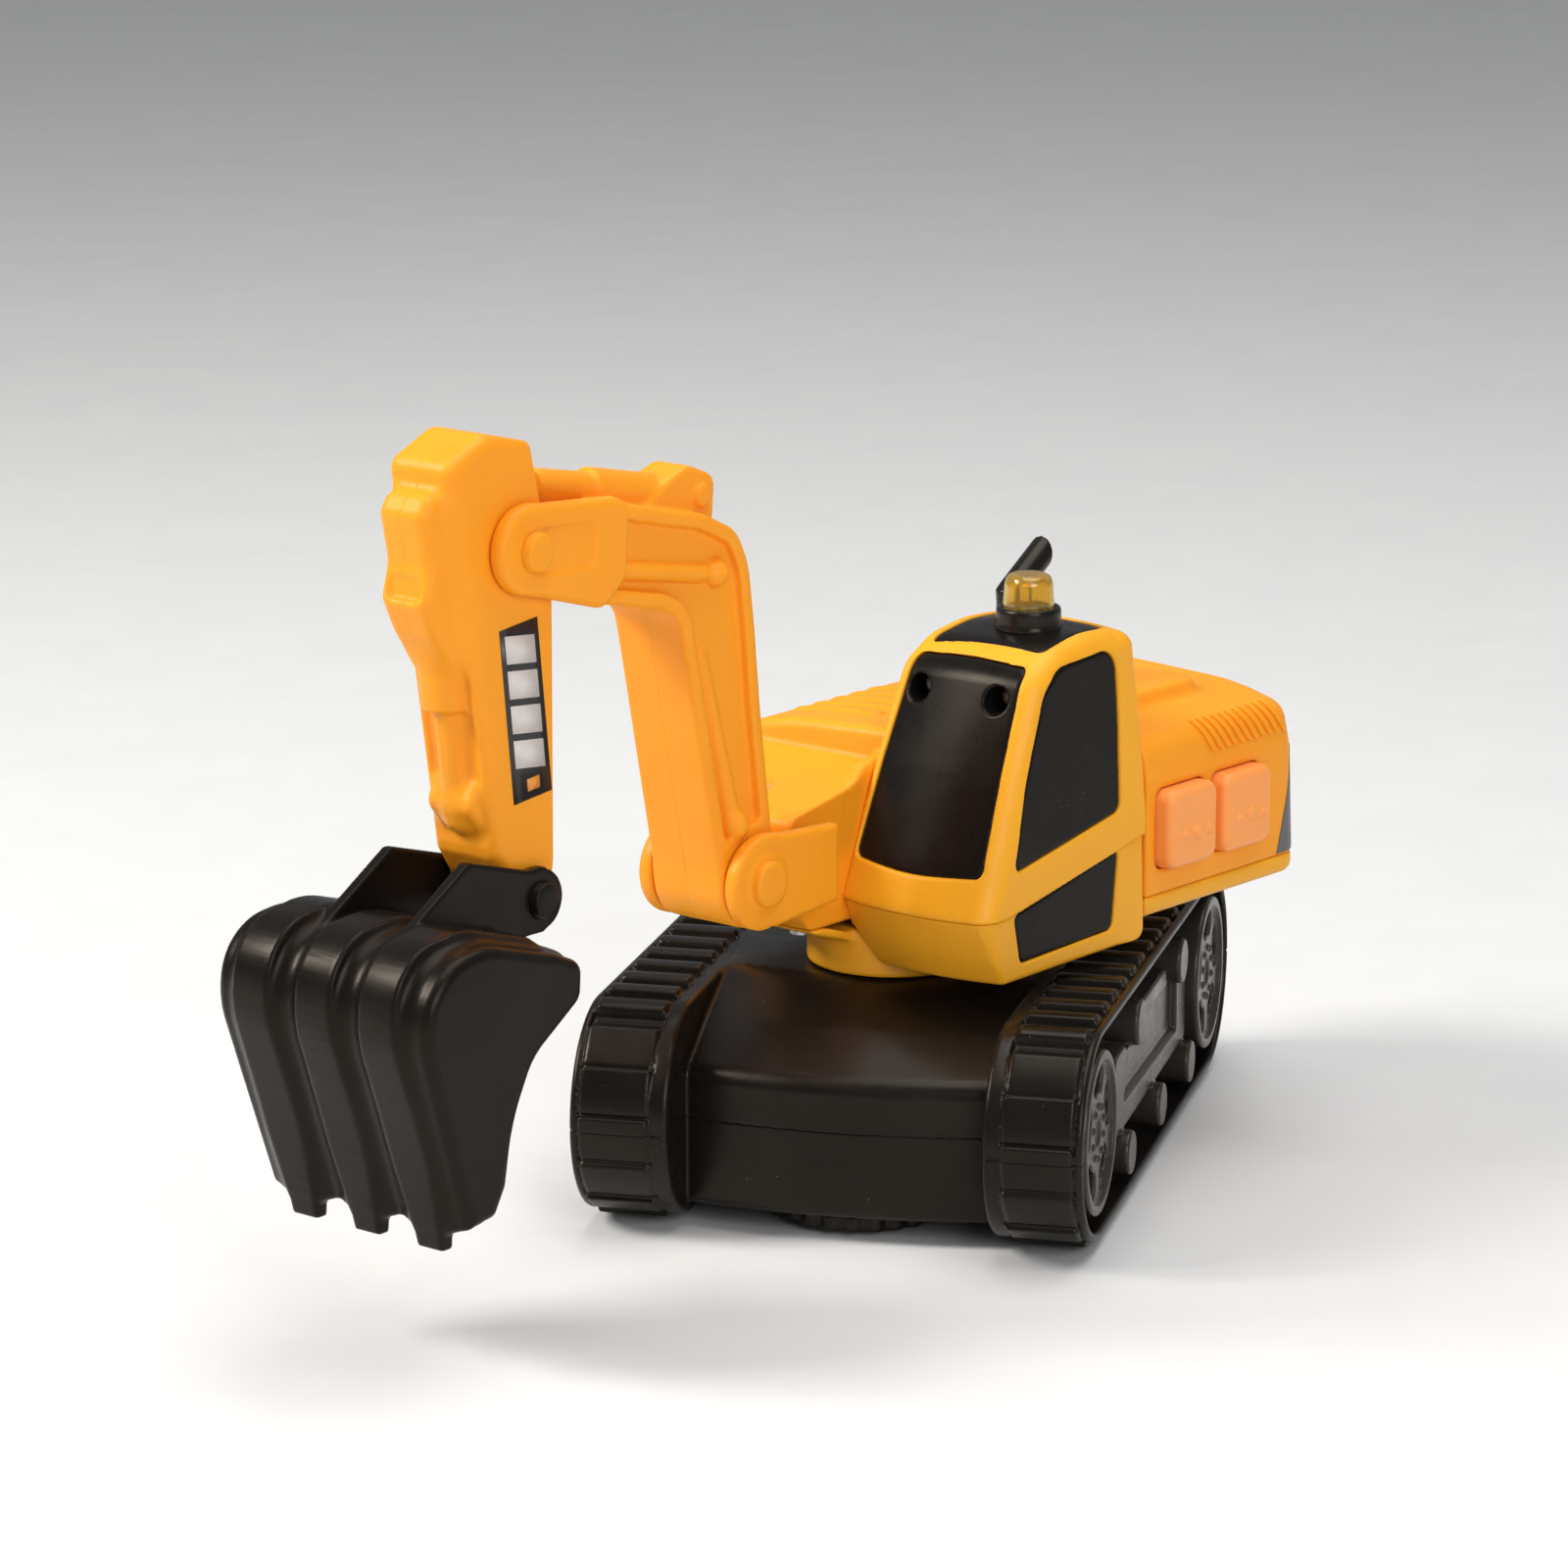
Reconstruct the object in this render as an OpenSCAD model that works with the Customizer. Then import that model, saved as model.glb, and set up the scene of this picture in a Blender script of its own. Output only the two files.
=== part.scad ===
// Toy excavator with rigid moulded tracks, a turning house, a three-piece digging arm
// and a cab with lights. Millimetres. Origin on the floor under the swivel axis,
// +X along the boom, +Y towards the cab side, +Z up.

/* [Undercarriage] */
// Angle of the undercarriage against the house, degrees
track_turn = 26; // [-180:1:180]
// Distance from the swivel axis back to the middle of the tracks
track_back = 25; // [15:1:35]
// Distance between the front and rear track wheels
wheelbase = 138; // [120:1:150]
// Outer radius of the track at the lug tips
track_r = 25.3; // [24:0.1:26]
// Inboard edge of the track lugs, measured from the centre line
lug_in = 39.2; // [38.5:0.1:40]
// Outboard edge of the track lugs, measured from the centre line
lug_out = 55.2; // [54:0.1:56]
// Number of lugs round one track
lug_count = 40; // [30:1:44]
// Gap under the lugs when the toy stands on its rollers
ground_gap = 0.6; // [0.3:0.1:1]
// Height of the deck at the swivel
deck_z = 50.4; // [49:0.1:51]
// Height of the line where the upper and lower chassis shells meet
split_z = 25.3; // [24:0.1:27]

/* [House] */
// Half width of the house
house_half = 43; // [40:0.5:45]
// Rear face of the house behind the swivel axis
house_rear = 98.5; // [92:0.5:104]
// Underside of the house
house_z = 59; // [58:0.5:62]
// Height of the hood
hood_z = 103; // [98:0.5:108]
// Radius of the turntable drum
drum_r = 19.2; // [17:0.1:21]
// Wall of the moulded shells
wall = 2; // [1.6:0.1:2.4]

/* [Cab] */
// Inner side of the cab
cab_y0 = 4; // [3:0.5:6]
// Outer side of the cab
cab_y1 = 43.5; // [42:0.5:45]
// Rear face of the cab behind the swivel axis
cab_rear = 37.5; // [35:0.5:40]
// Height of the seam at the front of the cab
belt_z = 69.5; // [68:0.5:71]
// Height of the cab roof
roof_z = 129; // [126:0.5:131]

/* [Arm] */
// Boom foot pin, forward of the swivel axis
boom_x = 61; // [60:0.5:62]
// Boom foot pin height
boom_z = 82; // [81:0.5:83]
// Pin between boom and stick, forward of the swivel axis
stick_x = 133.5; // [133:0.5:134]
// Height of the pin between boom and stick
stick_z = 166; // [165.5:0.5:166.5]
// Pin between stick and bucket, forward of the swivel axis
bucket_x = 131.5; // [131:0.5:132]
// Height of the pin between stick and bucket
bucket_z = 92; // [91.5:0.5:92.5]
// Half thickness of the boom
boom_half = 10; // [9.5:0.1:10.5]
// Half thickness of the stick
stick_half = 9; // [8.5:0.1:9.2]
// Half width of the bucket
bucket_half = 30; // [28:0.5:32]
// Radius of the arm pins
pin_r = 2.5; // [2:0.1:3]

/* [Buttons] */
// Side of the square push buttons
button_size = 18.4; // [16:0.1:19]
// How far a push button stands out of the house
button_out = 4.4; // [3:0.1:5]
// Travel of a push button
button_travel = 1.5; // [1:0.1:2]

/* [Hidden] */
fit = 0.06;          // radial clearance of a turning pin
gap = 0.15;          // clearance between fixed neighbours
eps = 0.01;
big = 400;
bore_fn = 48;
pod_in = 35;         // inboard wall of the track pods
pod_out = 57.2;      // outer rim of the track pods
band_r = track_r - 1.2;
pod_wall = 2.4;
track_cz = track_r + ground_gap;
front_x = wheelbase / 2 - track_back;
rear_x = -wheelbase / 2 - track_back;
chassis_floor = 5.1;
chassis_len = 81;    // half length of the chassis box at its middle
hub_r = 12.94;
hub_hole = hub_r + fit;
bogie_x = 31;
bogie_r = 20;
neck_r = 12;
roller_r = 7;
rear_roller_r = 8.5;
rear_axle_x = -84;
axle_rib_y = [-31, -17.5, 17.5, 31];
screw_r = 1.2;
pilot_r = 1.25;
ear_half = boom_half + 0.4;
ear_out = 14;
fork_out = 13;
fork_in = stick_half + 0.35;
foot_r = 10.5;
button_x = [-50.6, -71.8];
button_z = 79;
led_y = [12, 33.5];
led_z = 115.8;
orange = [0.98, 0.60, 0.16];
yellow = [0.98, 0.68, 0.20];
salmon = [1.0, 0.56, 0.30];
black = [0.06, 0.055, 0.05];

// Corner b of the outline a, b, c rounded with radius r as n + 1 points.
function unit(v) = v / norm(v);
function xy(q) = [q[0], q[1]];
function corner(a, b, c, r, n) =
    let (u = unit(a - b), w = unit(c - b), half = acos(u * w) / 2)
    let (mid = b + unit(u + w) * r / sin(half), s = b + u * r / tan(half), e = b + w * r / tan(half))
    let (a0 = atan2(s.y - mid.y, s.x - mid.x), a1 = atan2(e.y - mid.y, e.x - mid.x))
    let (sweep = ((a1 - a0 + 540) % 360) - 180)
    r <= 0 ? [b] : [for (i = [0:n]) mid + r * [cos(a0 + sweep * i / n), sin(a0 + sweep * i / n)]];
// Outline from [x, y, radius] points.
function rounded(q, n = 5) = [
    for (i = [0:len(q) - 1])
        each corner(xy(q[(i + len(q) - 1) % len(q)]), xy(q[i]), xy(q[(i + 1) % len(q)]), q[i][2], n)
];

module turned() rotate([0, 0, track_turn]) children();
// Extrudes an X-Z outline from y0 to y1.
module across(y0, y1) translate([0, y1, 0]) rotate([90, 0, 0]) linear_extrude(y1 - y0) children();
// Extrudes a Y-Z outline from x0 to x1.
module along(x0, x1) translate([x0, 0, 0]) rotate([90, 0, 90]) linear_extrude(x1 - x0) children();
module pin_y(x, z, y0, y1, r, fn = bore_fn)
    translate([x, y0, z]) rotate([-90, 0, 0]) cylinder(h = y1 - y0, r = r, $fn = fn);
module post(x, y, z0, z1, r, fn = 32) translate([x, y, z0]) cylinder(h = z1 - z0, r = r, $fn = fn);
// Pan-head screw standing on z0 with its head below (down = 1) or above (down = -1).
module screw(x, y, z0, len, down = 1) {
    post(x, y, min(z0, z0 + down * len), max(z0, z0 + down * len), screw_r, 24);
    post(x, y, down > 0 ? z0 - 1.6 : z0, down > 0 ? z0 : z0 + 1.6, 2.4, 24);
}
module screw_y(x, z, y0, len) {
    pin_y(x, z, y0, y0 + len, screw_r, 24);
    pin_y(x, z, y0 - 1.4, y0, 2.2, 24);
}

// ---------------------------------------------------------------- tracks and chassis
module loop_2d(r) {
    translate([front_x, track_cz]) circle(r, $fn = 72);
    translate([rear_x, track_cz]) circle(r, $fn = 72);
    translate([rear_x, track_cz - r]) square([wheelbase, 2 * r]);
}
// Point and heading at distance s round the track.
lug_path_r = 24;
arc_len = PI * lug_path_r;
lug_pitch = (2 * wheelbase + 2 * arc_len) / lug_count;
module on_track(s) {
    if (s < wheelbase) translate([rear_x + s, 0, track_cz]) children();
    else if (s < wheelbase + arc_len)
        translate([front_x, 0, track_cz]) rotate([0, (s - wheelbase) / lug_path_r * 180 / PI, 0]) children();
    else if (s < 2 * wheelbase + arc_len)
        translate([front_x - (s - wheelbase - arc_len), 0, track_cz]) rotate([0, 180, 0]) children();
    else translate([rear_x, 0, track_cz])
        rotate([0, 180 + (s - 2 * wheelbase - arc_len) / lug_path_r * 180 / PI, 0]) children();
}
module lug(y0, y1) across(y0, y1)
    polygon(rounded([
        [-3.1, band_r - 1.5, 0], [3.1, band_r - 1.5, 0], [2.1, track_r, 0.7], [-2.1, track_r, 0.7]
    ], 2));
module pod(side) {
    y0 = side > 0 ? pod_in : -pod_out;
    y1 = side > 0 ? pod_out : -pod_in;
    l0 = side > 0 ? lug_in : -lug_out;
    l1 = side > 0 ? lug_out : -lug_in;
    difference() {
        union() {
            across(y0, y1) loop_2d(band_r);
            for (i = [0:lug_count - 1]) on_track((i + 0.5) * lug_pitch) lug(l0, l1);
        }
        across(side > 0 ? y0 + pod_wall : y0 - 1, side > 0 ? y1 + 1 : y1 - pod_wall)
            loop_2d(band_r - pod_wall);
    }
}
// Bowed plan of the chassis box.
module chassis_plan(inset) {
    bow_r = 146;
    intersection() {
        translate([chassis_len - track_back - bow_r, 0]) circle(bow_r - inset, $fn = 180);
        translate([bow_r - chassis_len - track_back, 0]) circle(bow_r - inset, $fn = 180);
        translate([-130, -pod_in - 0.5]) square([260, 2 * pod_in + 1]);
    }
}
module chassis_side(inset) translate([-track_back, 0]) offset(delta = -inset) polygon(rounded([
    [chassis_len + 1, chassis_floor, 2.5], [chassis_len + 1, 36, 5], [63, 44.2, 24], [44, deck_z, 24],
    [-44, deck_z, 24], [-63, 44.2, 24], [-chassis_len - 1, 36, 5], [-chassis_len - 1, chassis_floor, 2.5]
]));
module chassis_box(inset) intersection() {
    linear_extrude(60) chassis_plan(inset);
    across(-60, 60) chassis_side(inset);
}
module upper_half() translate([-big / 2, -big / 2, split_z]) cube([big, big, 60]);
module lower_half() translate([-big / 2, -big / 2, split_z - 60]) cube([big, big, 60 - eps]);
chassis_screw_at = [[44, 26], [44, -26], [-28, 29], [-28, -29], [-97, 26], [-97, -26]];

module chassis_upper() turned() color(black) difference() {
    union() {
        intersection() {
            union() {
                pod(1);
                pod(-1);
                difference() {
                    chassis_box(0);
                    intersection() {
                        chassis_box(2.2);
                        translate([-150, -pod_in - 0.5, 0]) cube([300, 2 * pod_in + 1, 60]);
                    }
                }
            }
            upper_half();
        }
        intersection() {
            union() {
                for (p = chassis_screw_at) post(p.x, p.y, split_z, 60, 3.4);
                for (y = axle_rib_y)
                    translate([rear_axle_x - 2, y - 1.5, rear_roller_r + 1.5 + fit]) cube([4, 3, 50]);
            }
            chassis_box(1);
        }
    }
    for (p = chassis_screw_at) post(p.x, p.y, 20, 36, pilot_r);
    post(0, 0, 40, 60, hub_hole, bore_fn);
}
module chassis_lower() turned() color(black) difference() {
    union() {
        intersection() {
            union() {
                pod(1);
                pod(-1);
                difference() {
                    chassis_box(0);
                    chassis_box(2.2);
                }
            }
            lower_half();
        }
        for (p = chassis_screw_at) post(p.x, p.y, chassis_floor + 1, split_z - gap, 3.6);
        for (y = axle_rib_y)
            translate([rear_axle_x - 4, y - 1.5, chassis_floor + 1])
                cube([8, 3, rear_roller_r - chassis_floor + 3]);
    }
    for (p = chassis_screw_at) {
        post(p.x, p.y, 0, 60, pilot_r + 0.15);
        post(p.x, p.y, 0, 16, 2.7);
    }
    post(bogie_x, 0, 0, 20, neck_r + fit, bore_fn);
    for (y = [-24.3, 24.3])
        translate([rear_axle_x - 10, y - 4, 0]) cube([20, 8, 20]);
    pin_y(rear_axle_x, rear_roller_r, -34, 34, 1.5 + fit);
    translate([rear_axle_x - 2.1, -34, rear_roller_r + 1]) cube([4.2, 68, 12]);
}
module chassis_screws() turned() color("silver")
    for (p = chassis_screw_at) screw(p.x, p.y, 16, 18);

// Cast-look side panel: two spoked wheels, a middle plate and five roller bosses.
panel_floor = 46;
panel_r = band_r - pod_wall - gap;
roller_at = [[6, 10.4, 5], [-32.5, 10.4, 5], [-70, 10.4, 5], [-4, 38.2, 5.2], [-57.5, 38.2, 5.2]];
module wheel_relief(x) {
    difference() {
        pin_y(x, track_cz, panel_floor, pod_out, 18.6, 64);
        pin_y(x, track_cz, pod_out - 1.4, pod_out + 1, 17, 64);
        difference() {
            pin_y(x, track_cz, pod_out - 6, pod_out + 1, 15.4, 64);
            pin_y(x, track_cz, pod_out - 7, pod_out + 2, 7.6, 48);
            for (a = [0:4]) translate([x, pod_out - 7, track_cz]) rotate([0, a * 72 + 18, 0])
                translate([0, 0, -1.6]) cube([17, 6, 3.2]);
        }
    }
    for (a = [0:11])
        pin_y(x + 5.6 * cos(a * 30), track_cz + 5.6 * sin(a * 30), pod_out - 2, pod_out - 0.7, 0.5, 16);
}
module side_panel() {
    across(panel_floor, panel_floor + 2) loop_2d(panel_r);
    wheel_relief(front_x);
    wheel_relief(rear_x);
    for (p = roller_at) pin_y(p.x, p.y, panel_floor + 1, pod_out - 0.4, p[2], 40);
    difference() {
        across(panel_floor + 1, pod_out - 2.6) polygon(rounded([
            [17.5, 15, 1.5], [17.5, 37.5, 3], [6, 39.5, 1.5], [5, 31.5, 1], [-12, 31.5, 1], [-14, 39.5, 1.5],
            [-47, 39.5, 1.5], [-49, 31.5, 1], [-66, 31.5, 1], [-67, 39.5, 1.5], [-73.5, 36, 3], [-73.5, 15, 1.5]
        ], 3));
        across(pod_out - 6, pod_out) polygon(rounded([
            [-16, 37.5, 1.5], [-45, 37.5, 1.5], [-58, 26, 1.5], [-58, 21, 1], [8, 21, 1], [8, 24, 1.5]
        ], 3));
    }
    across(panel_floor, pod_out - 2.6) translate([-55, 23]) square([60, 5]);
}
module side_panel_left() turned() color(black) side_panel();
module side_panel_right() turned() color(black) mirror([0, 1, 0]) side_panel();

// Free-turning front bogie with two rollers, and the rear rollers on one axle.
module bogie_disc() turned() translate([bogie_x, 0, 0]) color(black) difference() {
    union() {
        difference() {
            post(0, 0, 1.1, chassis_floor - 0.4, bogie_r, 72);
            for (a = [0:23])
                rotate([0, 0, a * 15]) translate([bogie_r + 0.6, 0, 0]) cylinder(h = 3, r = 1.5, $fn = 16);
        }
        post(0, 0, 2, chassis_floor + 3.4, neck_r, bore_fn);
    }
    for (y = [-6, 6]) translate([-7.6, y - 2.4, 0]) cube([15.2, 4.8, 20]);
    pin_y(0, roller_r, -9.5, 9.5, 1 + fit);
    translate([-1 - fit, -9.5, roller_r]) cube([2 + 2 * fit, 19, 5]);
    for (x = [-8.6, 8.6]) post(x, 0, 3, 12, pilot_r);
}
module bogie_cap() turned() translate([bogie_x, 0, 0]) color(black) difference() {
    union() {
        post(0, 0, chassis_floor + 3.4 + eps, chassis_floor + 5.2, 15, 48);
        for (y = [-9.2, -2.9, 1.1, 7.6]) translate([-0.9, y + 0.2, roller_r + 1 + fit]) cube([1.8, 1.4, 1.5]);
    }
    for (y = [-6, 6]) translate([-7.6, y - 2.4, 0]) cube([15.2, 4.8, 20]);
    for (x = [-8.6, 8.6]) post(x, 0, 3, 12, pilot_r);
}
module bogie_screws() turned() translate([bogie_x, 0, 0]) color("silver")
    for (x = [-8.6, 8.6]) screw(x, 0, chassis_floor + 5.2 + eps, 5, -1);
module bogie_axle() turned() translate([bogie_x, 0, 0]) color("silver") pin_y(0, roller_r, -9.4, 9.4, 1);
module bogie_rollers() turned() translate([bogie_x, 0, 0]) color(black) for (y = [-6, 6]) difference() {
    pin_y(0, roller_r, y - 2, y + 2, roller_r, 48);
    pin_y(0, roller_r, y - 3, y + 3, 1 + eps);
}
module rear_axle() turned() color("silver") pin_y(rear_axle_x, rear_roller_r, -33, 33, 1.5);
module rear_rollers() turned() color(black) for (y = [-24.3, 24.3]) difference() {
    pin_y(rear_axle_x, rear_roller_r, y - 3, y + 3, rear_roller_r, 48);
    pin_y(rear_axle_x, rear_roller_r, y - 4, y + 4, 1.5 + eps);
}

// ---------------------------------------------------------------- swivel and house
retainer_z = deck_z - 2.2 - 0.3;
swivel_at = [[8.5, 0], [-4.25, 7.4], [-4.25, -7.4]];
module swivel_retainer() color(yellow) difference() {
    post(0, 0, retainer_z - 2.4, retainer_z, 17, bore_fn);
    for (p = swivel_at) post(p.x, p.y, 40, 60, pilot_r);
    post(0, 0, 40, 60, 4);
}
module swivel_screws() color("silver") for (p = swivel_at) screw(p.x, p.y, retainer_z - 2.4, 8);

nose_x = 41;
module house_plan(inset) offset(delta = -inset) polygon(rounded([
    [-house_rear, -house_half, 8], [8, -house_half, 10], [24, -ear_out, 5], [nose_x, -ear_out, 1],
    [nose_x, ear_out, 1], [18, ear_out, 1], [8, house_half, 8], [-house_rear, house_half, 8]
], 6));
module house_side(inset) offset(delta = -inset) polygon(rounded([
    [-house_rear, house_z, 5], [-house_rear, 96, 6], [-89, hood_z, 12], [3, hood_z, 5], [nose_x, 90, 3],
    [nose_x, 72.2, 4], [33, 63, 8], [20, house_z, 6]
], 6));
module house_front(inset) offset(delta = -inset) polygon(rounded([
    [-house_half, house_z - 1, 0], [house_half, house_z - 1, 0], [house_half, 92, 12], [house_half - 3, hood_z, 7],
    [-house_half + 3, hood_z, 7], [-house_half, 92, 12]
], 6));
module house_form(inset) intersection() {
    linear_extrude(120) house_plan(inset);
    across(-60, 60) house_side(inset);
    along(-120, 60) house_front(inset);
}
seam_z = 63.6;
module cab_room() translate([-cab_rear - gap, cab_y0 - gap, 40]) cube([nose_x - 14 + cab_rear, 60, 100]);
house_screw_at = [[-92, 33], [-92, -33], [-5, -36], [23, -8]];
cab_screw_y = [12, 36];
cab_screw_z = [67, 92];
exhaust_at = [-43, -1];
exhaust_r = 2.3;
module button_hole(x, extra) translate([x, 30, button_z]) rotate([-90, 0, 0])
    linear_extrude(20) offset(delta = extra) square(button_size, center = true);
module hood_block() hull() {
    translate([-88, -2, hood_z - 2]) cube([50, 30, 1.5]);
    translate([-86, 0, hood_z - 2]) cube([48, 24, 4.8]);
}
nose_solid_x = 27.2;
module house_shell() color(orange) difference() {
    union() {
        difference() {
            union() {
                house_form(0);
                difference() {
                    hood_block();
                    cab_room();
                }
            }
            difference() {
                house_form(wall);
                translate([nose_solid_x, -20, 60]) cube([nose_x, 40, 40]);
            }
            translate([-big / 2, -big / 2, seam_z - 60]) cube([big, big, 60]);
            cab_room();
            for (x = button_x) button_hole(x, gap);
        }
        // inner walls of the cab corner
        intersection() {
            house_form(0.5);
            union() {
                translate([-cab_rear - gap - wall, cab_y0 - gap - wall, seam_z])
                    cube([nose_x - 15 + cab_rear, wall, 60]);
                translate([-cab_rear - gap - wall, cab_y0 - gap - wall, seam_z]) cube([wall, 60, 60]);
            }
        }
        for (s = [-1, 1]) translate([0, s * (ear_half + ear_out) / 2, 0])
            across(-(ear_out - ear_half) / 2, (ear_out - ear_half) / 2) ear_2d();
        for (i = [0:9]) translate([-61.5 - i * 2.75, 0, 0]) louvre_rib();
        mirror([0, 1, 0]) for (i = [0:9]) translate([-61.5 - i * 2.75, 0, 0]) louvre_rib();
        for (i = [0:4]) translate([-9 - i * 5, -36, hood_z - 1]) cube([1.6, 22, 1.8]);
        intersection() {
            for (p = house_screw_at) post(p.x, p.y, seam_z + 1, 110, 3.4);
            house_form(1);
        }
    }
    for (p = house_screw_at) post(p.x, p.y, seam_z, 78, pilot_r);
    for (y = cab_screw_y, z = cab_screw_z) bore_x(y, z, -45, -36, screw_r + 0.2);
    post(exhaust_at.x, exhaust_at.y, 90, 120, exhaust_r + 0.02);
    pin_y(boom_x, boom_z, -20, 20, pin_r + 0.01);
}
module bore_x(y, z, x0, x1, r)
    translate([x0, y, z]) rotate([0, 90, 0]) cylinder(h = x1 - x0, r = r, $fn = 24);
module ear_2d() union() {
    translate([boom_x, boom_z]) circle(foot_r, $fn = 64);
    polygon([[nose_x - 3, 72.2], [boom_x - 4, 71.6], [boom_x + 1, 71.6], [boom_x + 2, 92.4], [nose_x - 3, 90.5]]);
}
// Louvre rib bent over the top edge of the hood.
module louvre_rib() along(0, 1.3) difference() {
    translate([house_half - 10.2, hood_z - 10.2]) circle(11.2, $fn = 64);
    translate([house_half - 10.2, hood_z - 10.2]) circle(8, $fn = 64);
    translate([house_half - 30, hood_z - 30]) square([60, 19]);
    translate([house_half - 30, hood_z - 30]) square([17, 60]);
}
module house_base() color(orange) difference() {
    union() {
        difference() {
            house_form(0);
            house_form(wall);
            translate([-big / 2, -big / 2, seam_z - 0.05]) cube([big, big, 60]);
            cab_room();
        }
        post(0, 0, deck_z + 0.3, house_z + 3, drum_r, 96);
        post(0, 0, retainer_z + eps, deck_z + 1, hub_r, bore_fn);
        intersection() {
            post(0, 0, house_z - 1, house_z + wall, 34, 64);
            house_form(0.3);
            translate([-60, -60, 0]) cube([120, 60 + cab_y0 - gap, 100]);
        }
        for (p = house_screw_at) post(p.x, p.y, house_z + 1, seam_z + 0.9, 3.6);
        for (x = [bay_x0 - 2, bay_x1]) translate([x, -27.6, house_z + 1]) cube([2, 55.2, 13]);
        for (y = [-27.6, 25.6])
            translate([bay_x0 - 1, y, house_z + 2.4]) cube([bay_x1 - bay_x0 + 2, 2, 11.6]);
        post(bay_mid, 30, house_z + 2, 70, 2.8);
        for (p = board_post_at) post(p.x, p.y, house_z + 1, board_z - eps, 2.2);
    }
    post(0, 0, 40, 70, 4);
    for (p = swivel_at) post(p.x, p.y, 40, retainer_z + 8.5, pilot_r);
    for (p = house_screw_at) {
        post(p.x, p.y, 40, 80, pilot_r + 0.15);
        post(p.x, p.y, 40, house_z + 2.2, 2.7);
    }
    translate([bay_x0, -25.6, 50]) cube([bay_x1 - bay_x0, 51.2, 30]);
    translate([bay_x0, -25.6, 50]) cube([bay_x1 - bay_x0, 58, house_z + 2 - 50]);
    post(bay_mid, 30, 50, 68, pilot_r);
}
bay_x0 = -87.5;
bay_x1 = -55;
bay_mid = (bay_x0 + bay_x1) / 2;
board_z = 80;
board_post_at = [[-22, -8], [1, -8], [-19, -28]];
module house_screws() color("silver") for (p = house_screw_at) screw(p.x, p.y, house_z + 2.2, 14);

// Battery bay under the rear of the house: two cells side by side, cover from below.
module battery_cover() color(orange) difference() {
    translate([bay_x0 + gap, -25.6 + gap, house_z]) cube([bay_x1 - bay_x0 - 2 * gap, 58 - 2 * gap, 1.8]);
    post(bay_mid, 30, 40, 80, pilot_r);
}
module battery_cover_screw() color("silver") screw(bay_mid, 30, house_z - eps, 8, 1);
module batteries() color("dimgray") for (x = [bay_mid - 7.8, bay_mid + 7.8]) {
    pin_y(x, 69, -25, 23.5, 7.2);
    pin_y(x, 69, 23.5, 25, 2.7, 32);
}
module battery_contacts() color("gold") {
    translate([-85, 25.05, 64]) cube([28, 0.5, 10]);
    translate([-85, -25.6, 64]) cube([13, 0.5, 10]);
    translate([-70, -25.6, 64]) cube([13, 0.5, 10]);
}
module circuit_board() color("darkgreen") {
    translate([-27, -31, board_z]) cube([33, 27, 1.6]);
    translate([-20, -24, 81.6]) cube([9, 9, 1.4]);
    for (x = [-8, 0]) post(x, -12, board_z + 1.6, 87, 2.5, 24);
}
module speaker() color("dimgray") {
    post(-36, -26, house_z + wall + 0.05, 64, 13.5, 48);
    post(-36, -26, 64, 70, 8, 48);
}

// Push buttons in the left side of the house, with sprung switches behind.
module button(x) color(salmon) {
    difference() {
        union() {
            translate([x, house_half - 3.4, button_z]) rotate([-90, 0, 0]) linear_extrude(3.4 + button_out)
                polygon(rounded([for (c = [[-1, -1], [1, -1], [1, 1], [-1, 1]])
                    [c.x * button_size / 2, c.y * button_size / 2, 2.4]], 5));
            translate([x, house_half - wall - 1.85, button_z]) rotate([-90, 0, 0]) linear_extrude(1.8)
                square(button_size + 1.9, center = true);
            pin_y(x, button_z, house_half - 8, house_half - 3, 1.6, 32);
        }
    }
    for (d = [-4.6, 4.6])
        pin_y(x - 1 + d, button_z - 1.4, house_half + button_out - 0.5, house_half + button_out + 0.25, 0.6, 20);
    pin_y(x - 1, button_z - 1.4, house_half + button_out - 0.5, house_half + button_out + 0.3, 1.2, 24);
}
module button_front() button(button_x[0]);
module button_rear() button(button_x[1]);
switch_y = house_half - 8 - button_travel - 0.1;
module button_switches() color("darkgreen") {
    translate([-82.5, switch_y - 4.2, 70.5]) cube([42.5, 1.2, 17]);
    translate([-50, switch_y - 4.2, house_z + wall + 0.05]) cube([9, 1.2, 12]);
    for (x = button_x) {
        translate([x - 3, switch_y - 3, button_z - 3]) cube([6, 2.4, 6]);
        pin_y(x, button_z, switch_y - 1, switch_y, 1.5, 24);
    }
}
module exhaust_stack() color(black) translate([exhaust_at.x, exhaust_at.y, hood_z - 3]) {
    cylinder(h = 28.5, r = exhaust_r, $fn = 32);
    translate([0, 0, 28.5]) sphere(exhaust_r, $fn = 32);
    translate([0, 0, 28.5]) rotate([0, -52, 0]) difference() {
        cylinder(h = 14, r = exhaust_r, $fn = 32);
        translate([0, 0, 8]) cylinder(h = 10, r = 1.7, $fn = 32);
    }
}

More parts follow.
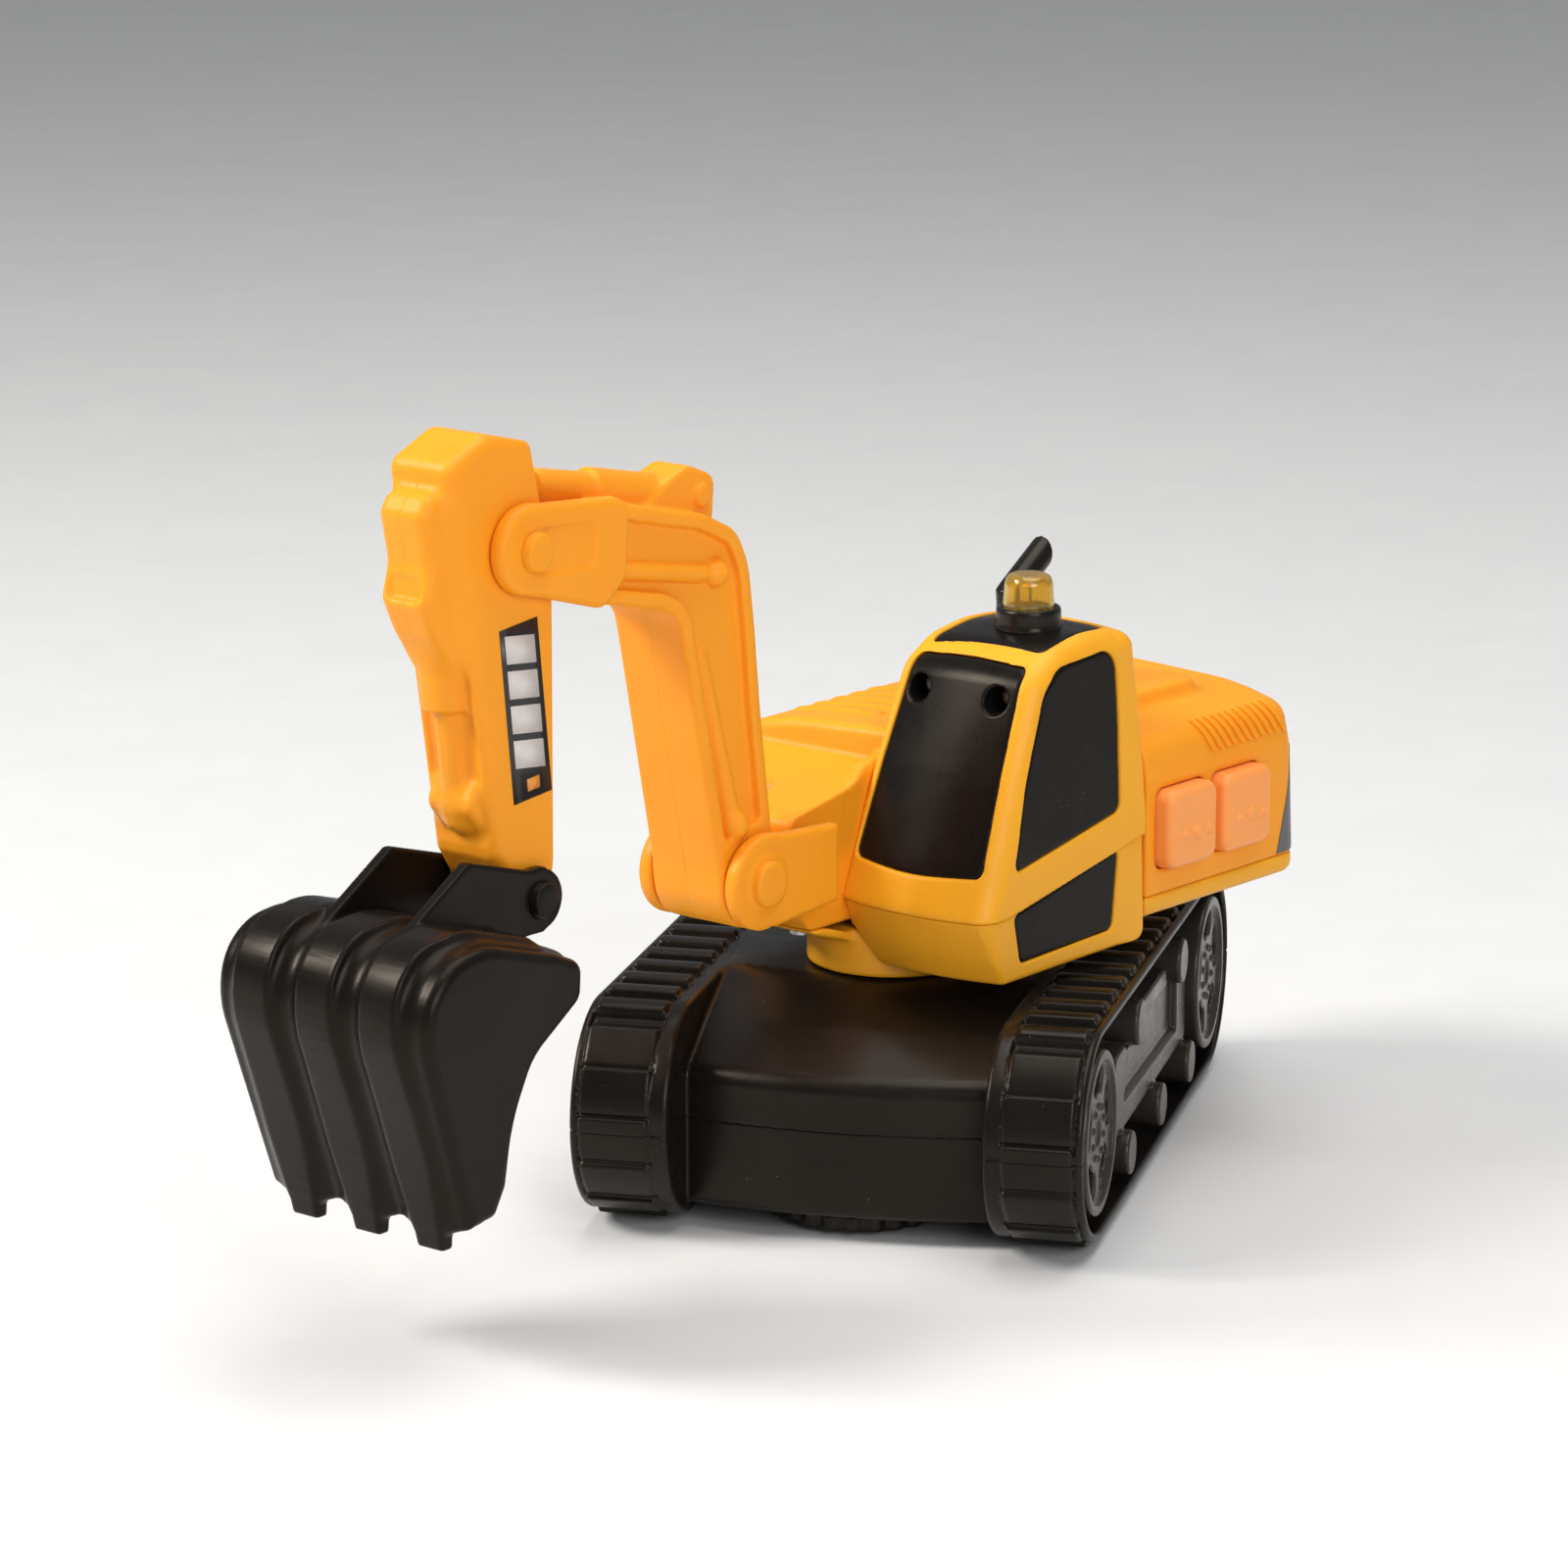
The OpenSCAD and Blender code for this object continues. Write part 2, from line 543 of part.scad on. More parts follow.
// ---------------------------------------------------------------- cab
roof_back = 32;
module cab_side(inset) offset(delta = -inset) polygon(rounded([
    [-cab_rear, 54.2, 4], [-roof_back - 1.5, 124, 4], [-28, 127.6, 8], [-16, roof_z, 30], [-4, 127, 12],
    [3.6, 122, 5], [24.3, belt_z, 2], [16.5, 54.2, 3]
], 5));
module cab_front(inset) offset(delta = -inset) polygon(rounded([
    [cab_y0, 61, 5], [cab_y0 + 18, 54.2, 12], [cab_y1, 54.2, 2.5], [cab_y1, 85, 60], [cab_y1 - 2.2, 126, 6],
    [26, roof_z + 0.6, 40], [cab_y0 + 3, 126, 6], [cab_y0, 85, 60]
], 5));
module cab_form(inset) intersection() {
    across(-10, 60) cab_side(inset);
    along(-60, 60) cab_front(inset);
    union() {
        translate([24.3, 0, belt_z]) rotate([0, -21.7, 0]) linear_extrude(90) cab_bow(inset);
        translate([24.3, 0, belt_z]) rotate([0, 27.2, 0]) mirror([0, 0, 1]) linear_extrude(60) cab_bow(inset);
        translate([-70, -10, belt_z - 12]) cube([78, 60, 24]);
    }
}
// Bowed front of the cab with a rounded outer corner.
module cab_bow(inset) intersection() {
    translate([-66 - inset, 23]) circle(66, $fn = 120);
    translate([-90, cab_y0 - 5]) square([90, 60]);
}
module belt(lift) across(-20, 70) translate([0, lift]) polygon([
    [-60, 83.8], [-cab_rear, 79.6], [10, belt_z + 0.3], [16, belt_z], [60, belt_z], [60, 200], [-60, 200]
]);
module screen_2d(inset) offset(delta = -inset) polygon(rounded([
    [8.6, 77.5, 2], [24, 75.6, 60], [39, 77.5, 2], [37.4, 121, 2], [24, 122.6, 60], [10, 121, 2]
], 4));
module roof_2d(inset) offset(delta = -inset) polygon(rounded([
    [-3.5, 9.5, 1.5], [-3.5, 38.6, 1.5], [-29, 37.6, 3], [-29, 10.5, 3]
], 4));
module door_up_2d(inset) offset(delta = -inset) polygon(rounded([
    [12, 79, 1.5], [-2.5, 118.5, 6], [-8, 122.2, 5], [-22.5, 123.4, 4], [-27, 117, 4], [-27, 87, 2.5]
], 4));
module door_low_2d(inset) offset(delta = -inset) polygon(rounded([
    [10.6, 69.6, 1], [-27, 77.3, 1], [-25, 59.4, 1], [8.6, 58.2, 1]
], 3));
module cab_shell() difference() {
    union() {
        difference() {
            cab_form(0);
            cab_form(wall);
        }
        intersection() {
            for (y = cab_screw_y, z = cab_screw_z) bore_x(y, z, -cab_rear, -27, 2.8);
            cab_form(1);
        }
    }
    for (y = cab_screw_y, z = cab_screw_z) bore_x(y, z, -40, -29, pilot_r);
}
module cab_screws() color("silver") for (y = cab_screw_y, z = cab_screw_z) {
    bore_x(y, z, -cab_rear - gap - wall - eps, -30, screw_r);
    bore_x(y, z, -cab_rear - gap - wall - 1.4, -cab_rear - gap - wall - eps, 2.2);
}
module cab_screen_zone() translate([-4, 0, 70]) cube([60, 60, 56]);
module cab_upper() color(yellow) difference() {
    intersection() {
        cab_shell();
        belt(0.05);
    }
    along(-2, 60) screen_2d(0);
    translate([0, 0, 120]) linear_extrude(20) roof_2d(0);
    across(30, 60) door_up_2d(0);
    across(-10, 20) door_up_2d(0);
}
module cab_lower() color(yellow) difference() {
    intersection() {
        cab_shell();
        difference() {
            translate([-60, -20, 40]) cube([120, 90, 60]);
            belt(0);
        }
    }
    across(30, 60) door_low_2d(0);
    post(0, 0, 40, house_z + 4, drum_r + 0.4, 96);
}
module windscreen() color(black) difference() {
    intersection() {
        cab_form(0.45);
        along(-2, 60) screen_2d(gap);
        cab_screen_zone();
    }
    cab_form(wall + 0.2);
    for (y = led_y) led_bore(y, 3.1);
}
module led_bore(y, r) translate([-8, y, led_z]) rotate([0, 90, 0]) cylinder(h = 40, r = r, $fn = 32);
module roof_panel() color(black) difference() {
    intersection() {
        cab_form(0.45);
        translate([0, 0, 120]) linear_extrude(20) roof_2d(gap);
    }
    cab_form(wall + 0.2);
    post(-16.8, 25, 120, 140, 3.2);
}
module door_window_upper() color(black) intersection() {
    difference() {
        cab_form(0.45);
        cab_form(wall + 0.2);
    }
    across(36, 60) door_up_2d(gap);
}
module inner_window() color(black) intersection() {
    difference() {
        cab_form(0.45);
        cab_form(wall + 0.2);
    }
    across(-10, 12) door_up_2d(gap);
}
module door_window_lower() color(black) intersection() {
    difference() {
        cab_form(0.45);
        cab_form(wall + 0.2);
    }
    across(36, 60) door_low_2d(gap);
}
module cab_leds() color("whitesmoke") for (y = led_y) {
    translate([-7, y, led_z]) rotate([0, 90, 0]) cylinder(h = 6.5, r = 2.5, $fn = 32);
    translate([-0.5, y, led_z]) sphere(2.5, $fn = 32);
    translate([-8, y, led_z]) rotate([0, 90, 0]) cylinder(h = 1, r = 2.9, $fn = 32);
}
beacon_at = [-16.8, 25];
module beacon_collar() translate([beacon_at.x, beacon_at.y, 0]) color(black) difference() {
    union() {
        post(0, 0, 128.6, 130.6, 7.7, 48);
        post(0, 0, 130, 133, 6.2, 48);
        post(0, 0, 125.4, 129, 3, 32);
    }
    post(0, 0, 120, 140, 2.2);
}
module beacon_led() translate([beacon_at.x, beacon_at.y, 0]) color("whitesmoke") {
    post(0, 0, 126, 136.5, 2, 32);
    translate([0, 0, 136.5]) sphere(2, $fn = 32);
}
module beacon_lens() translate([beacon_at.x, beacon_at.y, 133])
    color([1, 0.75, 0.2, 0.6]) rotate_extrude($fn = 48) difference() {
        polygon([[0, eps], [5.8, eps], [5.5, 7.5], [4.6, 9], [3, 9.6], [0, 9.8]]);
        polygon([[-1, -1], [4.8, -1], [4.5, 7], [3.6, 8], [2.6, 8.4], [-1, 8.6]]);
    }

// ---------------------------------------------------------------- boom, stick and bucket
module boom_2d(inset) offset(delta = -inset) union() {
    translate([boom_x, boom_z]) circle(foot_r, $fn = 64);
    polygon(rounded([
        [boom_x - 9.5, 83, 0], [52.8, 86, 0], [60.4, 150, 14], [63.5, 161, 12], [76, 164.6, 20], [107.5, 172, 1],
        [111, 151.5, 1], [92, 147.4, 6], [84.8, 145.5, 6], [71.2, 83, 0], [boom_x, 79, 0]
    ], 6));
}
module fork_2d() union() {
    translate([stick_x + 0.8, stick_z + 0.4]) circle(9.4, $fn = 64);
    polygon(rounded([
        [104, 158, 2], [103.5, 171.5, 2.5], [107, 173.6, 3], [stick_x, stick_z + 9.8, 0],
        [stick_x + 4.4, stick_z - 8.1, 0], [111, 150.6, 4]
    ], 5));
}
boom_cut_x = 108;
module boom_half_form() {
    difference() {
        across(0.02, boom_half) intersection() {
            boom_2d(0);
            translate([0, 0]) square([boom_cut_x, 300]);
        }
        across(-1, boom_half - 3.6) difference() {
            intersection() {
                boom_2d(2);
                translate([0, 0]) square([boom_cut_x - 2, 300]);
            }
            translate([boom_x, boom_z]) circle(6, $fn = 40);
        }
        across(boom_half - 1.6, boom_half + 1) difference() {
            intersection() {
                boom_2d(2.6);
                translate([0, 0]) square([101, 300]);
            }
            translate([boom_x, boom_z]) circle(foot_r + 1.5, $fn = 48);
        }
    }
    across(fork_in, fork_out) fork_2d();
    // moulded ram with its bracket along the top
    intersection() {
        union() {
            translate([73, 0, 167.2]) rotate([0, 78.3, 0]) cylinder(h = 31.5, r = 4.4, $fn = 32);
            translate([100, 0, 172.7]) rotate([0, 79, 0]) cylinder(h = 20.8, r = 3.5, $fn = 32);
            across(-5.2, 5.2) polygon(rounded([
                [68.4, 157, 0], [67.2, 171.6, 3.5], [76, 175, 4], [82, 173, 6], [93, 166.5, 6], [93, 160, 0]
            ], 5));
        }
        translate([0, 0.02, 0]) cube([300, 30, 300]);
    }
    pin_y(72.4, 168, 4, 6.4, 2.6, 32);
}
module boom_side_detail() {
    pin_y(65.8, 94.7, 8, boom_half + 0.6, 3, 32);
    pin_y(71.5, 151.3, 8, boom_half + 0.6, 2.8, 32);
    translate([71.5, boom_half - 1.4, 151.3]) rotate([0, 80, 0]) cylinder(h = 26, r = 1.9, $fn = 32);
}
boom_screw_at = [[66.5, 116], [72, 146], [98, 160.5]];
module boom_left() color(orange) difference() {
    union() {
        boom_half_form();
        boom_side_detail();
        for (p = boom_screw_at) pin_y(p.x, p.y, 0.02, 8, 3, 32);
    }
    pin_y(boom_x, boom_z, -20, 20, pin_r + fit);
    pin_y(stick_x, stick_z, -20, 20, pin_r + 0.01);
    for (p = boom_screw_at) pin_y(p.x, p.y, -1, 7, pilot_r);
}
module boom_right() color(orange) difference() {
    union() {
        mirror([0, 1, 0]) boom_half_form();
        mirror([0, 1, 0]) boom_side_detail();
        for (p = boom_screw_at) pin_y(p.x, p.y, -8, -0.02, 3, 32);
    }
    pin_y(boom_x, boom_z, -20, 20, pin_r + fit);
    pin_y(stick_x, stick_z, -20, 20, pin_r + 0.01);
    for (p = boom_screw_at) {
        pin_y(p.x, p.y, -20, 1, pilot_r + 0.15);
        pin_y(p.x, p.y, -20, -6, 2.5);
    }
}
module boom_screws() color("silver") for (p = boom_screw_at) screw_y(p.x, p.y, -6, 12);
module headed_pin(x, z, half, r_head) {
    pin_y(x, z, -half - 1.2, half + 0.4, pin_r);
    for (s = [-1, 1]) translate([x, s * (half + 0.02), z]) rotate([-90 * s, 0, 0])
        rotate_extrude($fn = 48) polygon([[0, 0], [r_head, 0], [r_head - 0.4, 1], [r_head - 1.6, 1.9], [0, 2.2]]);
}
module boom_pin() color(orange) headed_pin(boom_x, boom_z, ear_out, 5);
module stick_pin() color(orange) headed_pin(stick_x, stick_z, fork_out, 4);

module stick_2d(inset) offset(delta = -inset) union() {
    translate([bucket_x, bucket_z]) circle(7, $fn = 48);
    polygon(rounded([
        [124, 96, 0], [123.7, 154, 4], [126.4, 172, 4], [130.2, 188, 2.5], [142.8, 191.2, 4], [154.9, 186, 3.5],
        [151.3, 160.4, 20], [142.2, 102, 3], [138, 96, 3], [137.5, 90, 0], [125, 92, 0]
    ], 5));
}
// Ram, rod and bracket moulded on the front of the stick.
module stick_ram_2d() polygon(rounded([
    [150, 181, 0], [157.8, 180, 2.5], [160.4, 176.4, 3], [158.2, 165.5, 4], [160.2, 158, 3], [156.8, 150.8, 5],
    [152, 134, 1], [147.5, 132, 1], [145, 118, 1], [147.2, 111.6, 3], [143.8, 105.4, 2], [134, 104, 0]
], 4));
stick_screw_at = [[143, 182], [143, 148], [130, 112]];
module stick_half_form() {
    difference() {
        union() {
            across(0.02, stick_half) stick_2d(0);
            across(0.02, 6.4) stick_ram_2d();
        }
        across(-1, stick_half - 2) difference() {
            intersection() {
                stick_2d(2);
                translate([0, 103]) square([300, 300]);
            }
            translate([stick_x, stick_z]) circle(6, $fn = 40);
        }
        // slot in the rear wall for the end of the ram on the boom
        translate([115, -1, 171]) cube([16.5, 5.6, 16]);
    }
}
module stick_left() color(orange) difference() {
    union() {
        stick_half_form();
        for (p = stick_screw_at) pin_y(p.x, p.y, 0.02, 8, 3, 32);
    }
    pin_y(stick_x, stick_z, -20, 20, pin_r + fit);
    pin_y(bucket_x, bucket_z, -20, 20, pin_r + fit);
    for (p = stick_screw_at) pin_y(p.x, p.y, -1, 7, pilot_r);
}
module stick_right() color(orange) difference() {
    union() {
        mirror([0, 1, 0]) stick_half_form();
        for (p = stick_screw_at) pin_y(p.x, p.y, -8, -0.02, 3, 32);
    }
    pin_y(stick_x, stick_z, -20, 20, pin_r + fit);
    pin_y(bucket_x, bucket_z, -20, 20, pin_r + fit);
    for (p = stick_screw_at) {
        pin_y(p.x, p.y, -20, 1, pilot_r + 0.15);
        pin_y(p.x, p.y, -20, -5.5, 2.5);
    }
}
module stick_screws() color("silver") for (p = stick_screw_at) screw_y(p.x, p.y, -5.5, 12);
module stick_decals() color("dimgray") for (s = [-1, 1]) translate([0, s * (stick_half + 0.11), 0])
    across(-0.1, 0.1) polygon([[140.6, 149.6], [128.6, 151.6], [124.9, 114.2], [136.2, 112.6]]);
module house_decals() color("dimgray") for (s = [-1, 1]) translate([0, s * (house_half + 0.11), 0])
    across(-0.1, 0.1) polygon([[-94.5, 86], [-88.7, 65], [-94.5, 66]]);

ear_b_in = stick_half + 0.3;
ear_b_out = stick_half + 3;
// Side outline of the bucket: belly, top, mouth and cutting edge.
module bucket_2d(inset) offset(delta = -inset) polygon(rounded([
    [171, 32.4, 1], [163.5, 34, 2], [160.3, 40, 5], [159, 54, 40], [152, 66, 14], [137.4, 76.5, 3], [138.6, 84, 3],
    [146, 87, 8], [166, 92, 10], [182.5, 88.5, 10], [186.2, 76, 12]
], 6));
module bucket_mouth_2d() polygon(rounded([
    [169.6, 33.6, 0], [171, 20, 0], [120, 20, 0], [120, 90, 0], [136.2, 82.6, 0], [146, 84.8, 7], [165.6, 89.6, 8],
    [180.6, 86.5, 8], [183.6, 76, 10]
], 6));
module bucket_rib_outline() polygon(rounded([
    [169.2, 27.5, 0.6], [173.4, 32, 0], [188.4, 76, 12], [184.6, 90.6, 10], [166, 94.2, 10], [150, 89.5, 3], [150, 85, 0],
    [166, 90, 8], [182, 87, 8], [184, 76, 10], [167.5, 33, 0], [168.6, 27.8, 0.4]
], 6));
module bucket() color(black) difference() {
    union() {
        difference() {
            across(-bucket_half, bucket_half) bucket_2d(0);
            across(-bucket_half + 2.2, bucket_half - 2.2) bucket_mouth_2d();
        }
        for (y = [-17.6, 0, 17.6]) across(y - 4.4, y + 4.4) bucket_rib_outline();
        for (s = [-1, 1]) translate([0, s * (ear_b_in + ear_b_out) / 2, 0])
            across(-(ear_b_out - ear_b_in) / 2, (ear_b_out - ear_b_in) / 2) union() {
                translate([bucket_x, bucket_z]) circle(6.6, $fn = 48);
                polygon(rounded([
                    [bucket_x - 1, 98.6, 0], [bucket_x + 4, 99, 1], [153.5, 104.2, 3], [174, 91, 0], [160, 88, 0],
                    [139.5, 85.5, 0], [bucket_x, 85.4, 0]
                ], 5));
            }
    }
    pin_y(bucket_x, bucket_z, -20, 20, pin_r + 0.01);
}
module bucket_pin() color(black) headed_pin(bucket_x, bucket_z, ear_b_out, 3.8);

chassis_upper();
chassis_lower();
side_panel_left();
side_panel_right();
chassis_screws();
bogie_disc();
bogie_cap();
bogie_axle();
bogie_rollers();
bogie_screws();
rear_axle();
rear_rollers();
swivel_retainer();
swivel_screws();
house_base();
house_shell();
house_screws();
battery_cover();
battery_cover_screw();
batteries();
battery_contacts();
circuit_board();
speaker();
button_switches();
button_front();
button_rear();
cab_screws();
cab_lower();
cab_upper();
windscreen();
door_window_upper();
door_window_lower();
inner_window();
roof_panel();
cab_leds();
beacon_collar();
beacon_led();
beacon_lens();
exhaust_stack();
boom_pin();
boom_left();
boom_right();
boom_screws();
stick_pin();
stick_left();
stick_right();
stick_screws();
stick_decals();
house_decals();
bucket_pin();
bucket();
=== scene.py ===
import math

import bpy
import numpy as np
from mathutils import Matrix, Vector


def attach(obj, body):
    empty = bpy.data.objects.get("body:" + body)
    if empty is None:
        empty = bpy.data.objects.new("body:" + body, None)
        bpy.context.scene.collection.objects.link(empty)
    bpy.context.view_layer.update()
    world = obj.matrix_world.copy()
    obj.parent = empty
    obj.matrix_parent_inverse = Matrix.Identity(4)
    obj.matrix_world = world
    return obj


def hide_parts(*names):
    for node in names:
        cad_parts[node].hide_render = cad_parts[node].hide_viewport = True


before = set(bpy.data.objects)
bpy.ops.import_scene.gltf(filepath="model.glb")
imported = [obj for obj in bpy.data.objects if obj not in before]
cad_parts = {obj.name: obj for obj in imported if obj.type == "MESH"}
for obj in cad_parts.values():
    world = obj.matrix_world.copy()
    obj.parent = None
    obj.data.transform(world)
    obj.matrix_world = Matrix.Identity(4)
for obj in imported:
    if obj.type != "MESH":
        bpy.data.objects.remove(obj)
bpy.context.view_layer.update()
MM = 0.001
COARSE = 1.0
RELAX = 2  # smoothing rounds of a carved surface


# -------------------- distance fields, in mm
def rmax(a, b, r):
    """Intersection of two fields whose edge is rounded with radius r."""
    return np.minimum(np.maximum(a, b), -r) + np.hypot(np.maximum(a + r, 0), np.maximum(b + r, 0))


def rmin(a, b, r):
    """Union of two fields whose corner is filled with radius r."""
    return -rmax(-a, -b, r)


def cut(a, b, r=0.3):
    """Field a without field b, with a rounded edge."""
    return rmax(a, -b, r)


def rounded(points, n=12):
    """Outline from (x, y, radius) corners as a list of points."""
    out = []
    count = len(points)
    for i, (x, y, r) in enumerate(points):
        if r <= 0:
            out.append((x, y))
            continue
        b = np.array([x, y])
        u = np.array(points[i - 1][:2]) - b
        w = np.array(points[(i + 1) % count][:2]) - b
        u, w = u / np.linalg.norm(u), w / np.linalg.norm(w)
        half = math.acos(float(np.clip(u @ w, -1, 1))) / 2
        mid = b + (u + w) / np.linalg.norm(u + w) * r / math.sin(half)
        s, e = b + u * r / math.tan(half) - mid, b + w * r / math.tan(half) - mid
        a0, a1 = math.atan2(s[1], s[0]), math.atan2(e[1], e[0])
        sweep = (a1 - a0 + 3 * math.pi) % (2 * math.pi) - math.pi
        out += [tuple(mid + r * np.array([math.cos(a0 + sweep * k / n),
            math.sin(a0 + sweep * k / n)])) for k in range(n + 1)]
    return out


def polygon(px, py, points):
    """Signed distance from the grid px, py to a closed outline."""
    best = np.full(np.broadcast(px, py).shape, 1e9, np.float32)
    inside = np.zeros(best.shape, bool)
    for i, (bx, by) in enumerate(points):
        ax, ay = points[i - 1]
        ex, ey = bx - ax, by - ay
        t = np.clip(((px - ax) * ex + (py - ay) * ey) / (ex * ex + ey * ey + 1e-12), 0, 1)
        best = np.minimum(best, (px - ax - t * ex) ** 2 + (py - ay - t * ey) ** 2)
        crosses = (ay > py) != (by > py)
        inside ^= crosses & (px < (py - ay) * ex / (ey if abs(ey) > 1e-9 else 1e-9) + ax)
    return np.where(inside, -1, 1) * np.sqrt(best)


class Grid:
    """A block of sample points, in mm, and the fields of simple shapes on it."""

    def __init__(self, lo, hi, step):
        self.step = step * COARSE
        self.lo = np.array(lo, float) - 2.5 * self.step
        n = [int((h - l) / self.step) + 6 for l, h in zip(lo, hi)]
        x, y, z = (np.float32(self.lo[i]) + np.arange(n[i],
            dtype=np.float32) * np.float32(self.step) for i in range(3))
        self.x, self.y, self.z = x[:, None, None], y[None, :, None], z[None, None, :]

    def xz(self, points):
        return polygon(self.x, self.z, rounded(points))

    def xy(self, points):
        return polygon(self.x, self.y, rounded(points))

    def yz(self, points):
        return polygon(self.y, self.z, rounded(points))

    def cyl(self, axis, a, b, r):
        p, q = {"x": (self.y, self.z), "y": (self.x, self.z), "z": (self.x, self.y)}[axis]
        return np.hypot(p - a, q - b) - r

    def slab(self, axis, a, b):
        p = {"x": self.x, "y": self.y, "z": self.z}[axis]
        return np.abs(p - (a + b) / 2) - abs(b - a) / 2

    def rod(self, p, q, r, r2=None):
        """Round-ended rod from p to q."""
        p, d = np.array(p, float), np.array(q, float) - np.array(p, float)
        t = np.clip(((self.x - p[0]) * d[0] + (self.y - p[1]) * d[1] + (self.z - p[2]) * d[2]) / (d @ d), 0, 1)
        off = [c - p[i] - t * d[i] for i, c in enumerate((self.x, self.y, self.z))]
        return np.sqrt(off[0] ** 2 + off[1] ** 2 + off[2] ** 2) - (r if r2 is None else r + (r2 - r) * t)

    def ball(self, p, r):
        return np.sqrt((self.x - p[0]) ** 2 + (self.y - p[1]) ** 2 + (self.z - p[2]) ** 2) - r


def outline_at(u, v, corners):
    """Signed distance to a closed outline at coordinates u and v that vary in all directions, from a fine table."""
    step = 0.3
    us = np.arange(u.min() - 1, u.max() + 1, step, dtype=np.float32)
    vs = np.arange(v.min() - 1, v.max() + 1, step, dtype=np.float32)
    table = polygon(us[:, None], vs[None, :], rounded(corners)).astype(np.float32)
    u, v = np.broadcast_arrays((u - us[0]) / step, (v - vs[0]) / step)
    i, k = np.clip(u.astype(int), 0, len(us) - 2), np.clip(v.astype(int), 0, len(vs) - 2)
    u, v = u - i, v - k
    low = table[i, k] * (1 - u) + table[i + 1, k] * u
    return low * (1 - v) + (table[i, k + 1] * (1 - u) + table[i + 1, k + 1] * u) * v


def surface(field, lo, step):
    """Quads on the zero surface of a sampled field: one vertex per cell that the surface crosses."""
    inside = field < 0
    count = np.zeros([n - 1 for n in field.shape], np.uint8)
    corners = [(i, j, k) for i in (0, 1) for j in (0, 1) for k in (0, 1)]
    for i, j, k in corners:
        count += inside[i:i + count.shape[0], j:j + count.shape[1], k:k + count.shape[2]]
    mixed = (count > 0) & (count < 8)
    cells = np.argwhere(mixed)
    index = np.full(mixed.shape, -1, np.int32)
    index[mixed] = np.arange(len(cells))
    total, hits = np.zeros((len(cells), 3)), np.zeros(len(cells))
    for axis in range(3):
        unit = np.eye(3, dtype=int)[axis]
        for off in corners:
            if off[axis]:
                continue
            a = cells + off
            b = a + unit
            fa, fb = field[tuple(a.T)], field[tuple(b.T)]
            hit = (fa < 0) != (fb < 0)
            t = np.where(hit, fa / np.where(hit, fa - fb, 1), 0)
            total += (a + t[:, None] * unit) * hit[:, None]
            hits += hit
    points = total / hits[:, None]
    quads = []
    for axis in range(3):
        b, c = [i for i in range(3) if i != axis]
        sl0, sl1 = [slice(1, -1)] * 3, [slice(1, -1)] * 3
        sl0[axis], sl1[axis] = slice(0, -1), slice(1, None)
        s0, s1 = inside[tuple(sl0)], inside[tuple(sl1)]
        e = np.argwhere(s0 != s1)
        flip = s0[tuple(e.T)]
        off = np.ones(3, int)
        off[axis] = 0
        e = e + off
        ub, uc = np.eye(3, dtype=int)[b], np.eye(3, dtype=int)[c]
        q = np.stack([index[tuple(p.T)] for p in (e, e - ub, e - ub - uc, e - uc)], 1)
        if axis == 1:
            flip = ~flip
        q[flip] = q[flip][:, ::-1]
        quads.append(q)
    quads = np.concatenate(quads)[:, ::-1]
    edges = np.concatenate([quads[:, [0, 1]], quads[:, [1, 2]], quads[:, [2, 3]], quads[:, [3, 0]]])
    edges = np.concatenate([edges, edges[:, ::-1]])
    degree = np.bincount(edges[:, 0], minlength=len(points))[:, None]
    for _ in range(RELAX):
        for weight in (0.5, -0.52):
            mean = np.stack([np.bincount(edges[:, 0], points[edges[:, 1], i], len(points)) for i in range(3)],
                1) / degree
            points = points + weight * (mean - points)
    return (points * step + lo) * MM, quads


def mesh_object(name, points, faces):
    mesh = bpy.data.meshes.new(name)
    mesh.vertices.add(len(points))
    mesh.vertices.foreach_set("co", np.asarray(points, np.float32).ravel())
    faces = np.asarray(faces, np.int32)
    size = faces.shape[1]
    mesh.loops.add(faces.size)
    mesh.loops.foreach_set("vertex_index", faces.ravel())
    mesh.polygons.add(len(faces))
    mesh.polygons.foreach_set("loop_start", np.arange(0, faces.size, size, dtype=np.int32))
    mesh.polygons.foreach_set("loop_total", np.full(len(faces), size, np.int32))
    mesh.update(calc_edges=True)
    mesh.validate()
    obj = bpy.data.objects.new(name, mesh)
    bpy.context.collection.objects.link(obj)
    mesh.shade_smooth()
    return obj


def freeze(obj):
    """Applies the modifiers of obj."""
    graph = bpy.context.evaluated_depsgraph_get()
    mesh = bpy.data.meshes.new_from_object(obj.evaluated_get(graph))
    mesh.name = obj.name
    obj.modifiers.clear()
    obj.data = mesh
    return obj


def carve(name, grid, field, keep=0.35):
    """A piece from the zero surface of field on grid, thinned where it is flat."""
    field = np.broadcast_to(field, np.broadcast(grid.x, grid.y, grid.z).shape)
    points, faces = surface(np.ascontiguousarray(field, dtype=np.float32), grid.lo, grid.step)
    obj = mesh_object(name, points, faces)
    if keep < 1:
        thin = obj.modifiers.new("thin", "DECIMATE")
        thin.ratio = keep
        freeze(obj)
        obj.data.shade_smooth()
    return obj


SEAM_LAP = -0.26  # the halves of a moulding run into each other, so that the seam stays a fine line
WALL = 2.0  # wall of the house and the cab
BOOM_PIN, STICK_PIN, BUCKET_PIN = (61, 82), (133.5, 166), (131.5, 92)  # x and z of the three pins
PIN_BORE = 2.52
STICK_HALF = 9.0  # half the width of the stick


